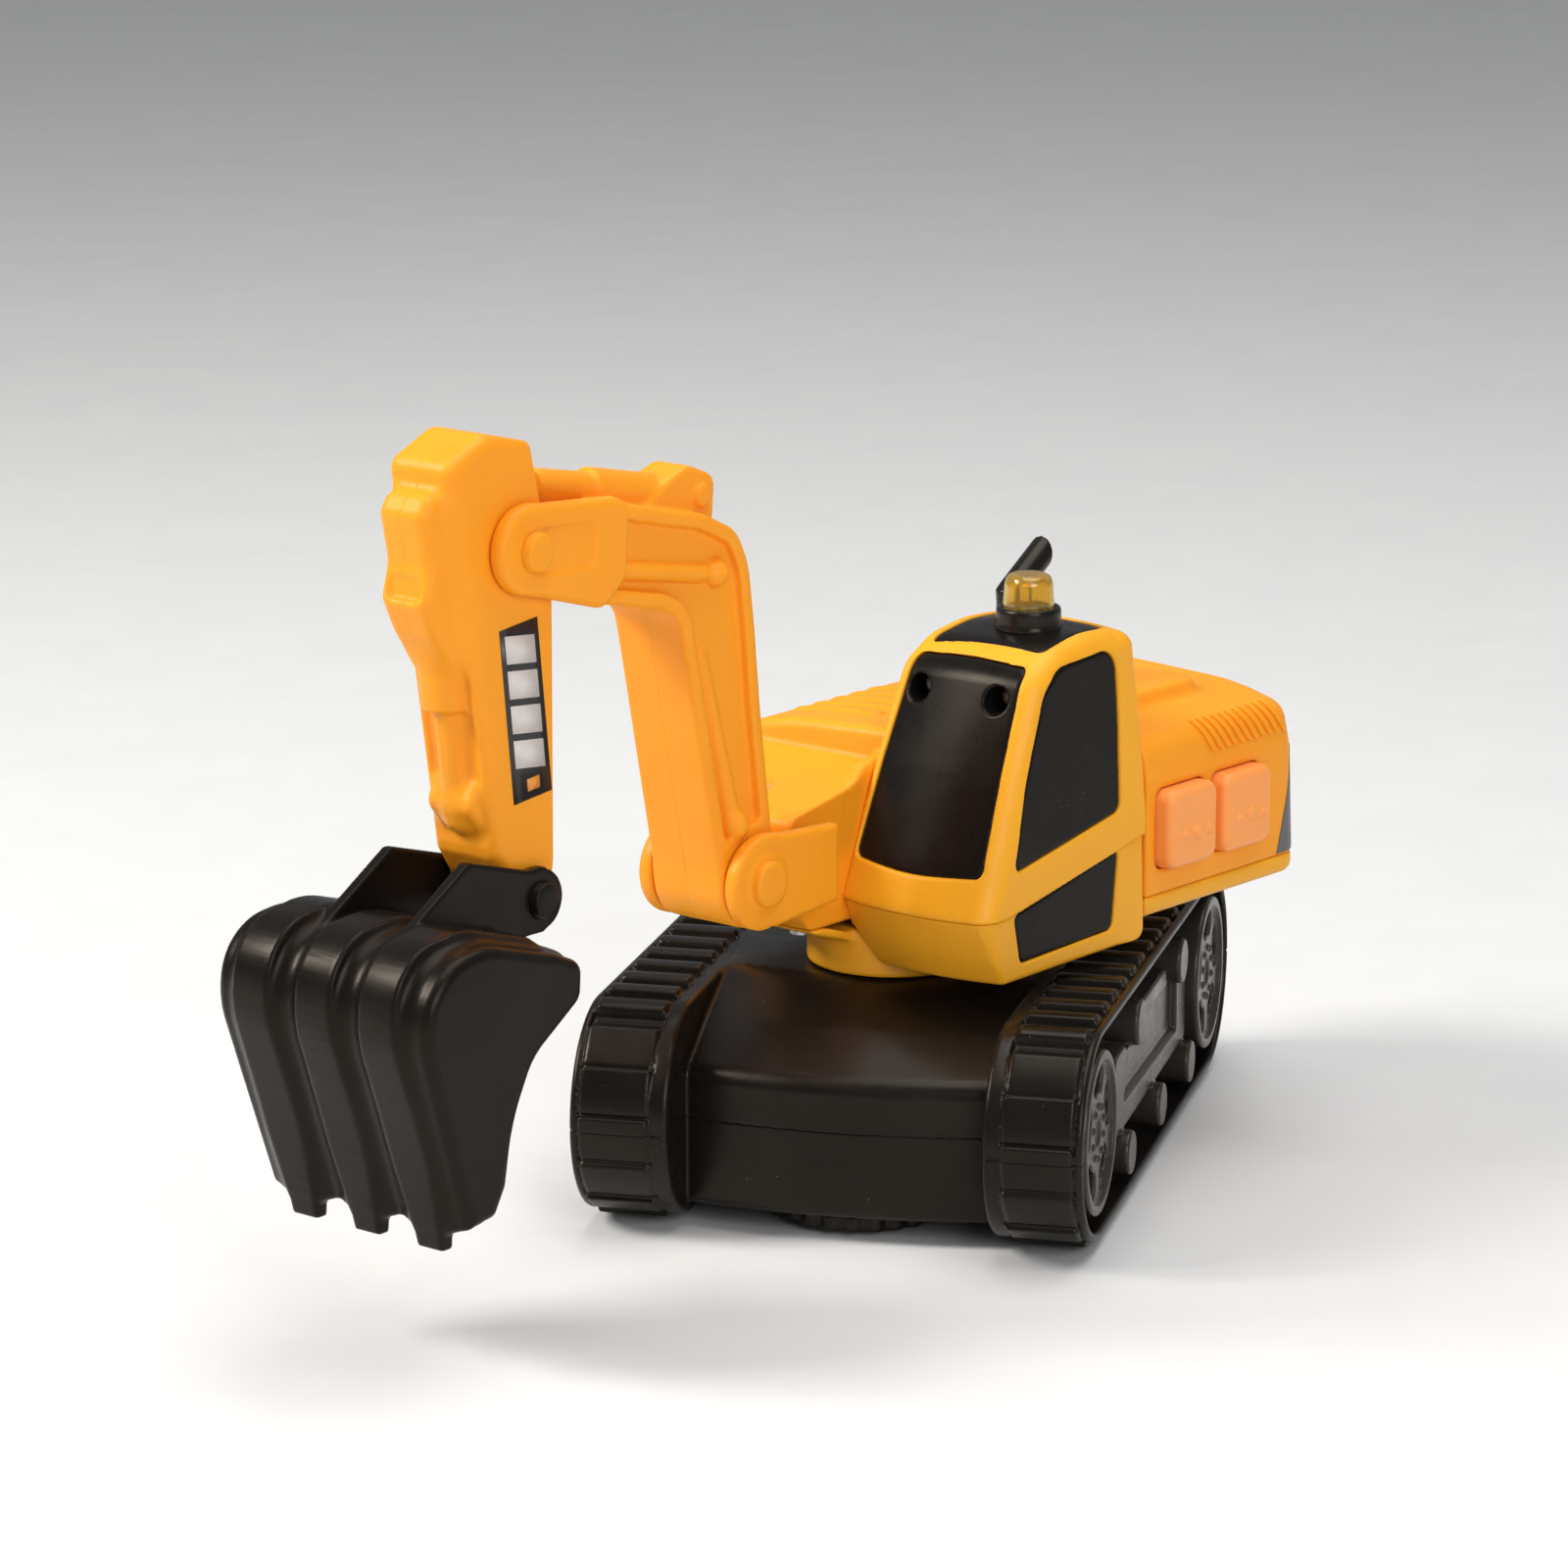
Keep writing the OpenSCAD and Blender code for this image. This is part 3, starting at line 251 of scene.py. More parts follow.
# -------------------- boom
BOOM_OUT = [(50.9, 84, 0), (54, 92, 8), (57.8, 120.2, 60), (59.6, 138, 30), (61.5, 152, 20), (65.5, 160, 9),
    (76, 165.0, 16), (108, 172.4, 0.5), (110, 150.8, 0.5), (89.3, 146.4, 12), (84.2, 143.6, 7), (80.8, 128.5, 60),
    (71.3, 83.6, 6), (68, 74, 4), (58, 70, 6)]


def boom_half():
    g = Grid((49, 0, 69), (147, 15, 186), 0.45)
    outline = rmin(g.xz(BOOM_OUT), g.cyl("y", *BOOM_PIN, 10.4), 1.0)
    outline = rmax(outline, g.x - 108, 1.0)
    body = rmax(outline, g.y - 10, 1.3)
    # recessed panel inside a raised rim, open towards the fork
    panel = rmax(outline + 3.4, -g.cyl("y", *BOOM_PIN, 12.5), 2.5)
    body = cut(body, rmax(panel, 7.6 - g.y, 1.0), 0.8)
    # moulded rams in the panel
    ram = rmin(g.rod((71.5, 8.0, 151.3), (77, 8.0, 152.2), 1.7), g.rod((76, 8.2, 152), (104, 8.2, 157.0), 2.0), 0.5)
    ram = rmin(ram, g.ball((71.3, 8.2, 151.3), 3.0), 0.8)
    low = rmin(g.rod((65.8, 7.8, 95.5), (75.0, 6.6, 134), 2.5, 1.6), g.ball((65.6, 8.6, 95), 3.2), 1.2)
    body = rmin(body, rmax(rmin(ram, low, 0.4), outline + 1.0, 0.4), 0.7)
    # fork ear
    ear = rmin(g.cyl("y", 134.3, 166.4, 9.4), g.xz([(104.5, 156, 3), (103.4, 171.8, 3), (107.5, 173.6, 4),
        (133.6, 175.7, 0), (137.8, 157.8, 0), (111.5, 150.4, 4)]), 0.6)
    ear = rmin(rmax(ear, np.abs(g.y - 10.6) - 1.2, 0.6), rmax(ear, np.abs(g.y - 11.2) - 1.8, 1.8), 0.1)
    inset = rmax(g.xz([(114.5, 160.2, 2.5), (114.6, 169.6, 2.5), (136, 170.9, 4.9), (136.6, 161.0, 4.9)]),
        12.35 - g.y, 0.4)
    ear = cut(ear, inset, 0.4)
    ear = rmin(ear, rmax(g.cyl("y", *STICK_PIN, 5.2), g.slab("y", 9.5, 12.9), 0.4), 0.3)
    body = rmin(body, ear, 0.8)
    # moulded top ram with its bracket
    tube = g.rod((72, 0, 167.0), (104.0, 0, 173.6), 4.4)
    tube = rmax(tube, (g.x - 104.0) * 0.98 + (g.z - 173.6) * 0.2, 0.8)
    rod = rmax(g.rod((100, 0, 172.8), (121.5, 0, 176.9), 3.45), g.x - 120.4, 0.6)
    lug = rmax(g.xz([(68.4, 157, 0), (67.2, 171.6, 3.5), (76, 175.0, 4), (82, 173, 6), (93, 166.5, 6),
        (93, 160, 0)]), g.slab("y", -5.2, 5.2), 1.2)
    lug = rmin(lug, rmax(g.cyl("y", 72.4, 168, 2.6), g.slab("y", -6.4, 6.4), 0.9), 0.5)
    body = rmin(body, rmin(rmin(tube, rod, 0.5), lug, 1.0), 0.8)
    # hollow inside, bores and the parting plane
    inner = rmax(outline + 2.2, g.y - 5.6, 1)
    inner = rmax(inner, -g.cyl("y", *BOOM_PIN, 6), 1)
    body = cut(body, rmax(inner, g.x - 103, 1), 0.3)
    body = cut(body, g.cyl("y", *BOOM_PIN, 2.6), 0.15)
    body = cut(body, g.cyl("y", *STICK_PIN, PIN_BORE), 0.15)
    return g, np.maximum(body, SEAM_LAP - g.y)


# -------------------- stick
STICK_OUT = [(123.9, 98.6, 3), (123.7, 154, 20), (126.4, 172, 20), (130.2, 188.0, 2.5), (142.8, 191.2, 4),
    (154.9, 186.0, 3.5), (153.4, 175, 30), (151.3, 160.4, 60), (142.2, 102, 3), (138, 96, 3), (137.5, 88.5, 5),
    (126, 86.5, 6)]


def stick_half():
    g = Grid((121, 0, 83), (163, 10.5, 193), 0.42)
    outline = g.xz(STICK_OUT)
    body = rmax(outline, g.y - STICK_HALF, 1.0 + 2.0 * np.clip((g.x - 131) / 9, 0, 1))
    # bracket, cylinder and rod moulded on the front
    head = g.xz([(148, 181, 0), (157.8, 180, 2.5), (160.4, 176.4, 3.5), (158.2, 165.5, 5), (160.2, 158, 4),
        (156.8, 150.8, 7), (150, 141, 12), (140, 141, 0)])
    head = rmax(head, g.y - 6.8, 3.0)
    seat = rmax(g.slab("z", 158.4, 163.0), g.slab("y", -4.4, 4.4), 1.6)
    head = cut(head, rmax(seat, 158.3 - g.x, 1.0), 1.3)
    channel = rmax(g.slab("y", -6.4, 6.4), g.xz([(148.0, 152, 2), (147.2, 140, 0), (142.0, 106, 2), (160, 100, 0),
        (170, 150, 0)]), 0.8)
    body = cut(body, channel, 1.8)
    cyl = rmax(g.rod((149.6, 0, 156), (146.9, 0, 134.0), 5.1), 133.5 - g.z, 0.9)
    rod = g.rod((146.6, 0, 136), (143.2, 0, 110), 3.1)
    foot = rmax(g.xz([(139, 119, 0), (144.6, 118.5, 1.5), (147.4, 113.2, 3.5), (142.8, 107.4, 3), (138, 103, 0)]),
        g.y - 6.2, 1.3)
    body = rmin(rmin(rmin(body, rmin(cyl, rod, 1.0), 1.8), head, 2.8), foot, 1.8)
    inner = rmax(outline + 2.2, g.y - 6.9, 1)
    inner = rmax(rmax(inner, 104 - g.z, 1), g.x - 0.12 * (g.z - 100) - 138.5, 1)
    inner = rmax(inner, -g.cyl("y", *STICK_PIN, 6), 1)
    body = cut(body, inner, 0.3)
    # slot in the rear wall for the end of the ram on the boom
    body = cut(body, rmax(rmax(g.slab("y", -4.6, 4.6), g.x - 131.4, 0.3), g.slab("z", 171.2, 187), 0.3), 0.3)
    body = cut(body, g.cyl("y", *STICK_PIN, 2.58), 0.15)
    body = cut(body, g.cyl("y", *BUCKET_PIN, 2.58), 0.15)
    return g, np.maximum(body, SEAM_LAP - g.y)


def mirrored(obj, name):
    """Mirror image of obj across the middle plane."""
    twin = obj.copy()
    twin.data = obj.data.copy()
    twin.name = twin.data.name = name
    bpy.context.collection.objects.link(twin)
    twin.data.transform(Matrix.Scale(-1, 4, (0, 1, 0)))
    twin.data.flip_normals()
    return twin


def both_halves(build, stem):
    """Left half from its field and right half as its mirror image."""
    left = carve(stem + "_left_moulding", *build())
    return left, mirrored(left, stem + "_right_moulding")


# -------------------- house
SEAM_Z = 63.8
BUTTON_X, BUTTON_Z = (-50.6, -71.8), 79
EXHAUST, BEACON = (-43, -1), (-16.8, 25)  # x and y


def house_form(g):
    """Outer skin of the house."""
    body = g.yz([(-43.2, 30, 0), (43.2, 30, 0), (43.2, 90, 14), (41.4, 99.6, 6), (28, 103.4, 60), (0, 104.6, 80),
        (-28, 103.4, 60), (-41.4, 99.6, 6), (-43.2, 90, 14)])
    body = rmax(body, -(g.x + 98.7 - np.clip(g.z - 66, 0, 40) * 0.06), 6.5)
    plan = g.xy([(-200, -90, 0), (-18, -90, 0), (24, -14, 6), (60, -14, 0), (60, 14, 0), (20, 14, 0), (-10, 90, 0),
        (-200, 90, 0)])
    side = g.xz([(-200, 59, 0), (-200, 150, 0), (4.0, 150, 0), (5.8, 97.0, 2.0), (41.2, 90.6, 3), (41.2, 72.2, 4),
        (33, 63, 9), (20, 59, 8)])
    return rmax(rmax(body, plan, 3), side, 2.4)


def cab_corner(g, gap):
    """Room that the cab takes out of the house."""
    return rmax(rmax(g.slab("x", -37.65 - gap, 60), g.slab("y", 3.85 - gap, 90), 0.5), 40 - g.z, 0.5)


def house_shell():
    g = Grid((-99.5, -44.5, 60), (72, 48, 107.5), 0.6)
    form = house_form(g)
    block = g.xy([(-80, -13, 5), (-30, -13, 2), (-30, 27.6, 2), (-80, 27.6, 5)])
    block = rmax(rmax(block + 0.45 * (g.z - 104.4), g.z - 106.1, 1.2), 100 - g.z, 0.5)
    skin = rmin(form, block, 1.0)
    for i in range(5):
        bar = rmax(rmax(g.slab("x", -8.6 - 6.6 * i, -5.4 - 6.6 * i), g.slab("y", -34, -9), 1.2),
            np.abs(form + 0.2) - 0.9, 0.5)
        skin = rmin(skin, bar, 0.5)
    flank = rmax(g.xz([(-10, 70, 2), (22, 70, 2), (21.5, 91, 3), (15.5, 98.6, 9), (-10, 99.5, 2)]),
        g.slab("y", -0.5, 3.8), 1.5)
    skin = rmin(skin, flank, 2.0)
    ear = rmin(g.cyl("y", *BOOM_PIN, 10.5), g.xz([(36, 73.2, 0), (58, 71.5, 3), (64, 92.3, 3), (36, 90.6, 0)]), 1.5)
    hollow = rmax(form + WALL, g.x - 22, 0.5)
    body = cut(skin, hollow, 0.3)
    body = cut(body, cab_corner(g, 0), 0.4)
    wall = rmax(rmin(rmax(g.slab("y", 1.8, 3.8), g.slab("x", -39.6, 25), 0.2),
        rmax(g.slab("x", -39.65, -37.7), g.slab("y", 1.8, 60), 0.2), 0.3), form + 0.8, 0.3)
    body = np.minimum(body, wall)
    body = rmin(body, rmax(ear, np.abs(np.abs(g.y) - 12.2) - 1.8, 0.9), 1.2)
    body = rmin(body, rmax(g.cyl("y", *BOOM_PIN, 6.4), np.abs(np.abs(g.y) - 12.5) - 1.9, 0.6), 0.5)
    for x in BUTTON_X:
        hole = rmax(rmax(np.abs(g.x - x) - 9.45, np.abs(g.z - BUTTON_Z) - 9.45, 2.6), 36 - g.y, 0.1)
        body = cut(body, hole, 0.35)
    body = cut(body, g.cyl("y", *BOOM_PIN, PIN_BORE), 0.15)
    body = cut(body, rmax(g.cyl("z", *EXHAUST, 2.4), 96 - g.z, 0.1), 0.2)
    body = rmax(body, SEAM_Z + 0.05 - g.z, 0.6)
    return carve("house_shell_moulding", g, body, 0.3)


def louvres():
    """Fine ribs over the shoulder of the house, above the buttons, and their mirror image."""
    g = Grid((-94, 37.5, 92), (-58, 44.5, 104), 0.26)
    form = house_form(g)
    lean = g.x + 4.4 * np.clip((103 - g.z) / 9.5, 0, 1.2) ** 1.5
    ribs = np.abs((lean + 60.8) % 2.75 - 1.375) - 0.74
    zone = rmax(rmax(np.abs(lean + 73.8) - 15.2, 93.4 - g.z, 0.3), 38.6 - g.y, 0.3)
    left = carve("house_louvres_left", g, rmax(rmax(ribs, zone, 0.3), np.abs(form + 0.1) - 0.85, 0.35), 0.5)
    return left, mirrored(left, "house_louvres_right")


def house_base():
    g = Grid((-99.5, -44.5, 47), (42, 44.5, 65), 0.6)
    form = house_form(g)
    body = cut(form, rmax(form + WALL, 60.8 - g.z, 0.5), 0.3)
    # opening under the battery cover
    body = cut(body, rmax(rmax(g.slab("x", -87.5, -55), g.slab("y", -25.6, 32.4), 1), g.slab("z", 50, 70), 0.2),
        0.3)
    body = cut(body, cab_corner(g, 0), 0.4)
    body = rmax(body, g.z - SEAM_Z + 0.05, 0.6)
    body = rmin(body, rmax(g.cyl("z", 0, 0, 19.3), g.slab("z", 50.75, 61.5), 0.7), 1.6)
    body = rmin(body, rmax(g.cyl("z", 0, 0, 12.94), g.slab("z", 47.95, 54), 0.2), 0.2)
    for x, y in ((-92, 33), (-92, -33), (-5, -36), (23, -8)):
        body = cut(body, rmax(g.cyl("z", x, y, 2.7), g.z - 61, 0.2), 0.3)
    return carve("house_base_moulding", g, body, 0.3)


# -------------------- cab
SCREEN = [(4.8, 78.7, 2), (22, 77.6, 90), (40.2, 78.7, 2), (38.2, 122.6, 2), (23, 123.6, 90), (7.9, 122.4, 2)]
DOOR_UP = [(12.2, 79.0, 1.8), (7.6, 98, 60), (0.2, 117.5, 9), (-5.5, 122.4, 6), (-26.2, 123.9, 5.5), (-27, 108, 30),
    (-27, 86.4, 2.6)]
DOOR_LOW = [(11.2, 69.4, 1.5), (-27.2, 77.6, 1.6), (-25.2, 59.2, 2), (8.8, 58.1, 1.8)]
EYES = ((33.2, 115.6), (11.8, 115.6))  # y and z of the two lamps in the windscreen
ROOF = [(-2.6, 8.4, 2), (-4.4, 38.4, 2), (-29.5, 37.4, 4), (-29.5, 9.0, 4)]


CAB_SIDE = [(-37.6, 54.2, 3.5), (-36.4, 84, 60), (-33.0, 127.2, 4), (-26, 128.2, 12), (-16, 128.6, 40),
    (-4.6, 126.8, 14), (4.4, 121.6, 9), (13.5, 100, 60), (21.4, 80.5, 60), (25.6, 69.6, 4), (21.8, 60, 20),
    (18.6, 53.6, 2.2)]
CAB_FRONT = [(2.5, 10, 0), (44.1, 10, 0), (44.1, 84, 60), (41.2, 160, 0), (7.0, 160, 0), (2.9, 84, 60)]


def cab_form(g):
    """Outer skin of the cab: a bowed windscreen and a crowned roof."""
    bow = (g.y - 22.5) ** 2 / (2 * (62 + np.clip(g.z - 78, 0, 50) * 1.1)) * np.clip((g.x + 24) / 30, 0, 1)
    crown = (g.y - 24) ** 2 / 270 * np.clip((g.z - 100) / 25, 0, 1)
    edge = 4.6 * np.clip((g.x + 36.5) / 9, 0.16, 1) * np.clip((g.y - 2) / 14, 0.45, 1) * np.clip((g.z - 46) / 30,
        0.4, 1)
    return rmax(outline_at(g.x + bow, g.z + crown, CAB_SIDE), g.yz(CAB_FRONT), edge)


def belt(g):
    """Positive above the seam between the two cab shells."""
    line = np.interp(g.x.ravel(), [-60, -37.5, 11.5, 15, 60], [83.9, 79.5, 69.9, 69.3, 69.3]).astype(np.float32)
    return g.z - line[:, None, None]


def cab():
    g = Grid((-38.5, 1.5, 52.5), (27.5, 45, 131), 0.38)
    form = cab_form(g)
    above = belt(g)
    screen = rmax(polygon(g.y, g.z, rounded(SCREEN)), -2 - g.x, 0.1)
    roof = rmax(g.xy(ROOF), 118 - g.z, 0.1)
    door_up = g.xz(DOOR_UP)
    door_low = g.xz(DOOR_LOW)
    left, right = 34 - g.y, g.y - 14
    window = np.minimum(np.minimum(screen, roof), np.minimum(rmax(door_up, left, 0.1), rmax(door_up, right, 0.1)))
    inner = form + WALL
    holes = np.minimum(g.cyl("x", *EYES[0], 3.05), g.cyl("x", *EYES[1], 3.05))
    holes = np.maximum(holes, -0.1)
    upper = rmax(cut(cut(form, inner, 0.3), window, 0.55), 0.05 - above, 0.45)
    low_form = form + 0.75
    lower = rmax(cut(cut(low_form, inner, 0.2), rmax(door_low, left, 0.1), 0.5), above + 0.05, 0.3)
    lower = cut(lower, g.cyl("z", 0, 0, 19.7), 0.3)
    out = [carve("cab_upper_moulding", g, upper, 0.4), carve("cab_lower_moulding", g, lower, 0.4)]
    pane = rmax(form + 0.5, -(form + 1.9), 0.2)
    glass = cut(rmax(pane, screen + 0.12, 0.5), holes, 0.35)
    for eye in EYES:
        cup = rmax(rmax(g.cyl("x", *eye, 4.1), form + 1.2, 0.2), -form - 9.0, 0.2)
        glass = np.minimum(glass, cut(cup, rmax(g.cyl("x", *eye, 3.1), -form - 8.2, 0.1), 0.2))
    out.append(carve("windscreen_glazing", g, glass, 0.4))
    out.append(carve("roof_panel_glazing", g, cut(rmax(rmax(form + 0.35, -inner, 0.2), roof + 0.12, 0.45),
        rmax(g.cyl("z", *BEACON, 3.1), 110 - g.z, 0.1), 0.2), 0.4))
    out.append(carve("door_window_upper_glazing", g, rmax(pane, rmax(door_up + 0.12, left, 0.1), 0.5), 0.4))
    out.append(carve("inner_window_glazing", g, rmax(pane, rmax(door_up + 0.12, right, 0.1), 0.3), 0.4))
    pane_low = rmax(form + 1.15, -(form + 2.4), 0.2)
    out.append(carve("door_window_lower_glazing", g, rmax(pane_low, rmax(door_low + 0.12, left, 0.1), 0.45), 0.4))
    return out


def button(name, x):
    g = Grid((x - 10.4, 34.5, 68.5), (x + 10.4, 48.8, 89.5), 0.36)
    key = rmax(rmax(np.abs(g.x - x) - 9.2, np.abs(g.z - BUTTON_Z) - 9.2, 3.0), g.slab("y", 39, 47.3), 1.9)
    for dx, r in ((-4.6, 1.1), (0, 1.6), (4.6, 1.1)):
        key = rmin(key, rmax(g.cyl("y", x + dx - 1.0, 77.6, r), g.slab("y", 44, 48.0), 0.35), 0.12)
    flange = rmax(rmax(np.abs(g.x - x) - 10.1, np.abs(g.z - BUTTON_Z) - 10.1, 2.6), g.slab("y", 39.1, 40.9), 0.3)
    stem = rmax(g.cyl("y", x, BUTTON_Z, 1.6), g.slab("y", 35, 40), 0.2)
    return carve(name, g, rmin(rmin(key, flange, 0.2), stem, 0.3), 0.4)


# -------------------- bucket
BUCKET_OUT = [(172.0, 32.6, 1), (163.6, 34, 2.5), (160.4, 40, 6), (158.6, 53, 40), (152.6, 65.4, 14),
    (138.2, 75.2, 4), (138.0, 83, 3.5), (146, 86.4, 10), (166.5, 92.3, 20), (184.6, 90.4, 14.5), (186.0, 74, 20)]
BUCKET_IN = [(169.4, 33.6, 0), (171, 10, 0), (100, 10, 0), (100, 90, 0), (136.4, 80.6, 0), (146, 84.2, 8),
    (166, 89.6, 18), (182.4, 87.8, 12.5), (183.6, 74, 18)]
RIB_OUT = [(168.4, 27.6, 0.4), (172.9, 27.5, 0.8), (179.5, 52, 60), (188.8, 76.0, 18), (186.4, 92.6, 14),
    (167, 94.8, 22), (146, 88.6, 3), (146, 70, 0), (165, 40, 0), (167.8, 30, 0)]


def bucket():
    g = Grid((124, -31, 26), (189, 31, 106), 0.5)
    outline = g.xz(BUCKET_OUT)
    flare = np.clip((g.z - 30) / 55, 0, 1) * 1.7
    side, wall = np.abs(g.y) - (28.3 + flare), np.abs(g.y) - (26.2 + flare)
    room = g.xz(BUCKET_IN)
    body = rmax(outline, side, 2.6)
    body = cut(body, rmax(room, wall, 0.8), 0.4)
    rib = rmax(g.xz(RIB_OUT), -room, 0.2)
    taper = np.clip((46 - g.z) / 16, 0, 1)
    rib_y = np.minimum(np.minimum(np.abs(g.y + 17.7), np.abs(g.y)), np.abs(g.y - 17.7))
    lanes = rib_y - (5.1 - 1.3 * taper)
    swell = rib_y - 6.6
    teeth = rmax(rib, lanes, 0.9)
    lip = rmax(rmax(rmax(outline - 0.7, swell, 2.2), -outline - 2.2, 0.2), -room, 0.2)
    body = rmin(body, rmin(teeth, lip, 2.0), 2.4)
    body = rmax(body, -(g.xz([(167.4, 34, 0), (166.8, 20, 0), (140, 20, 0), (140, 34, 0)])), 0.2)
    ear = rmin(g.cyl("y", *BUCKET_PIN, 6.6), g.xz([(130.5, 98.4, 0), (135, 98.9, 2), (153.6, 104.2, 2.5),
        (176, 90.5, 0), (160, 86, 0), (139.5, 84.5, 2), (131, 85.6, 0)]), 1.5)
    ears = rmax(ear, np.abs(np.abs(g.y) - 10.75) - 1.4, 0.55)
    body = rmin(body, ears, 1.0)
    return carve("bucket_moulding", g, cut(body, g.cyl("y", *BUCKET_PIN, PIN_BORE), 0.15), 0.35)


def pin(name, x, z, half, r, bar=2.5):
    g = Grid((x - r - 1, -half - 3, z - r - 1), (x + r + 1, half + 3, z + r + 1), 0.33)
    shank = rmax(g.cyl("y", x, z, bar), np.abs(g.y) - half - 0.5, 0.2)
    caps = rmax(g.cyl("y", x, z, r), np.abs(np.abs(g.y) - half - 1.1) - 1.08, 0.8)
    dome = rmax(g.ball((x, half - 1.6, z), r * 0.8 + 1.6), half - g.y, 0.2)
    dome2 = rmax(g.ball((x, -half + 1.6, z), r * 0.8 + 1.6), half + g.y, 0.2)
    caps = np.minimum(rmin(caps, dome, 0.4), rmin(caps, dome2, 0.4))
    caps = rmax(caps, np.abs(g.y) - half - 2.15, 0.5)
    return carve(name, g, np.minimum(shank, caps), 0.4)


# -------------------- roof fittings
def lathe(name, profile, steps=64):
    """Piece turned about the beacon axis from (radius, height) points, refined and smoothed first."""
    pts = []
    for (r0, z0), (r1, z1) in zip(profile[:-1], profile[1:]):
        n = max(1, int(math.hypot(r1 - r0, z1 - z0) / 0.35))
        pts += [(r0 + (r1 - r0) * k / n, z0 + (z1 - z0) * k / n) for k in range(n)]
    pts = np.array(pts + [profile[-1]], float)
    for _ in range(2):
        pts[1:-1] = (pts[:-2] + 2 * pts[1:-1] + pts[2:]) / 4
    angle = np.arange(steps) * 2 * math.pi / steps
    rings = np.stack([pts[:, :1] * np.cos(angle), pts[:, :1] * np.sin(angle), pts[:, 1:] + 0 * angle], 2)
    points = rings.reshape(-1, 3)
    m = len(pts)
    faces = [(i * steps + k, i * steps + (k + 1) % steps, (i + 1) * steps + (k + 1) % steps,
        (i + 1) * steps + k) for i in range(m - 1) for k in range(steps)]
    return mesh_object(name, (points + np.array([*BEACON, 0])) * MM, faces)


def roof_fittings():
    collar = lathe("beacon_collar_turned", [(0.01, 125.4), (3, 125.4), (3, 127.4), (7.6, 127.0), (7.7, 127.6),
        (7.35, 128.4), (7.3, 131.6), (7.1, 132.3), (6.5, 132.6), (6.2, 132.4), (5.9, 131.4), (5.0, 130.8),
        (2.2, 130.8), (2.2, 125.6)])
    lens = lathe("beacon_lens_moulded", [(5.7, 131.6), (5.75, 133.0), (5.35, 137.9), (4.9, 139.1), (3.9, 139.7),
        (0.01, 139.8), (0.01, 139.0), (3.5, 138.9), (4.2, 138.4), (4.5, 137.6), (4.9, 133.0), (4.9, 131.6),
        (5.7, 131.6)])
    g = Grid((-62, -5, 98), (-39, 3, 145), 0.4)
    spigot = rmax(g.cyl("z", *EXHAUST, 2.35), g.slab("z", 100.2, 108), 0.4)
    riser = rmax(g.cyl("z", -43.4, -1, 2.9), g.slab("z", 106.6, 128.5), 0.4)
    pipe = rmin(np.minimum(spigot, riser), g.rod((-44.4, -1, 127.9), (-62, -1, 139.5), 3.25), 1.0)
    pipe = rmax(pipe, -55.8 - g.x, 0.4)
    pipe = cut(pipe, rmax(g.rod((-50, -1, 131.6), (-64, -1, 140.8), 2.5), g.x + 50, 0.2), 0.25)
    foot = rmax(g.cyl("z", *EXHAUST, 3.4), g.slab("z", 105.5, 107.0), 0.6)
    pipe = carve("exhaust_stack_moulded", g, rmin(pipe, foot, 0.6), 0.5)
    return collar, lens, pipe


# -------------------- undercarriage, carved in its own frame
TURN = math.radians(26)  # the undercarriage against the house, as photographed
FRONT_X, REAR_X, WHEEL_Z = 44.0, -94.0, 25.9
WHEELBASE = FRONT_X - REAR_X
PITCH, ARC_R, RAIL_R, LUG_R = 10.67, 24.0, 24.1, 25.3
SPLIT_Z, SPLIT_LAP = 25.3, 0.2
SCREWS = [(44, 26), (44, -26), (-28, 29), (-28, -29), (-97, 26), (-97, -26)]
DECK = [(-20, 5.1, 0), (-20, 50.4, 0), (44, 50.4, 24), (63, 44.2, 24), (81, 36.4, 5), (81, 5.1, 2.5)]


def turned(obj):
    """Turns a piece of the undercarriage from its own frame into place."""
    obj.data.transform(Matrix.Rotation(TURN, 4, "Z"))
    return obj


def track_path(g):
    """Distance from the line between the wheel centres, angle round the end wheel and length along the track."""
    x = np.clip(g.x, REAR_X, FRONT_X)
    reach = np.hypot(g.x - x, g.z - WHEEL_Z)
    arc = np.arctan2(np.abs(g.x - x), g.z - WHEEL_Z)
    run = np.where(g.z > WHEEL_Z, x - REAR_X, WHEELBASE + math.pi * ARC_R + FRONT_X - x)
    run = np.where(g.x > FRONT_X, WHEELBASE + arc * ARC_R, np.where(g.x < REAR_X, -arc * ARC_R, run))
    return reach, arc, run


def track(g):
    """Both track pods: bars on the straight runs, stepped pads round the ends."""
    reach, arc, run = track_path(g)
    part = (run / PITCH) % 1
    t = np.abs(part - 0.5) * PITCH
    side = np.clip((t - 2.2) / 1.1, 0, 1)
    bar = LUG_R - 0.05 * t * t - 3.0 * side * side * (3 - 2 * side)
    fall = np.where(g.x > FRONT_X, (part + 0.78) % 1, (0.22 - part) % 1)
    ledge = np.clip((fall - 0.9) / 0.06, 0, 1) * np.clip((1 - fall) / 0.04, 0, 1)
    pad = LUG_R - 1.5 * fall + 0.55 * fall * fall - 0.55 * ledge
    bend = np.clip((arc - 0.3) / 0.35, 0, 1) * np.clip((2.95 - arc) / 0.3, 0, 1)
    tread = (reach - bar - (pad - bar) * bend) * 0.85
    wide = np.abs(np.abs(g.y) - 47.2)
    rail = rmax(reach - RAIL_R, np.abs(np.abs(g.y) - 46.1) - 11.1, 1.1)
    rail = cut(rail, rmax(wide - 8.15, 22.6 - reach, 0.4), 0.5)
    pod = rmin(rail, rmax(tread, wide - 8.0, 0.8), 0.3)
    return cut(pod, rmax(reach - 22.0, 37.6 - np.abs(g.y), 0.6), 0.5)


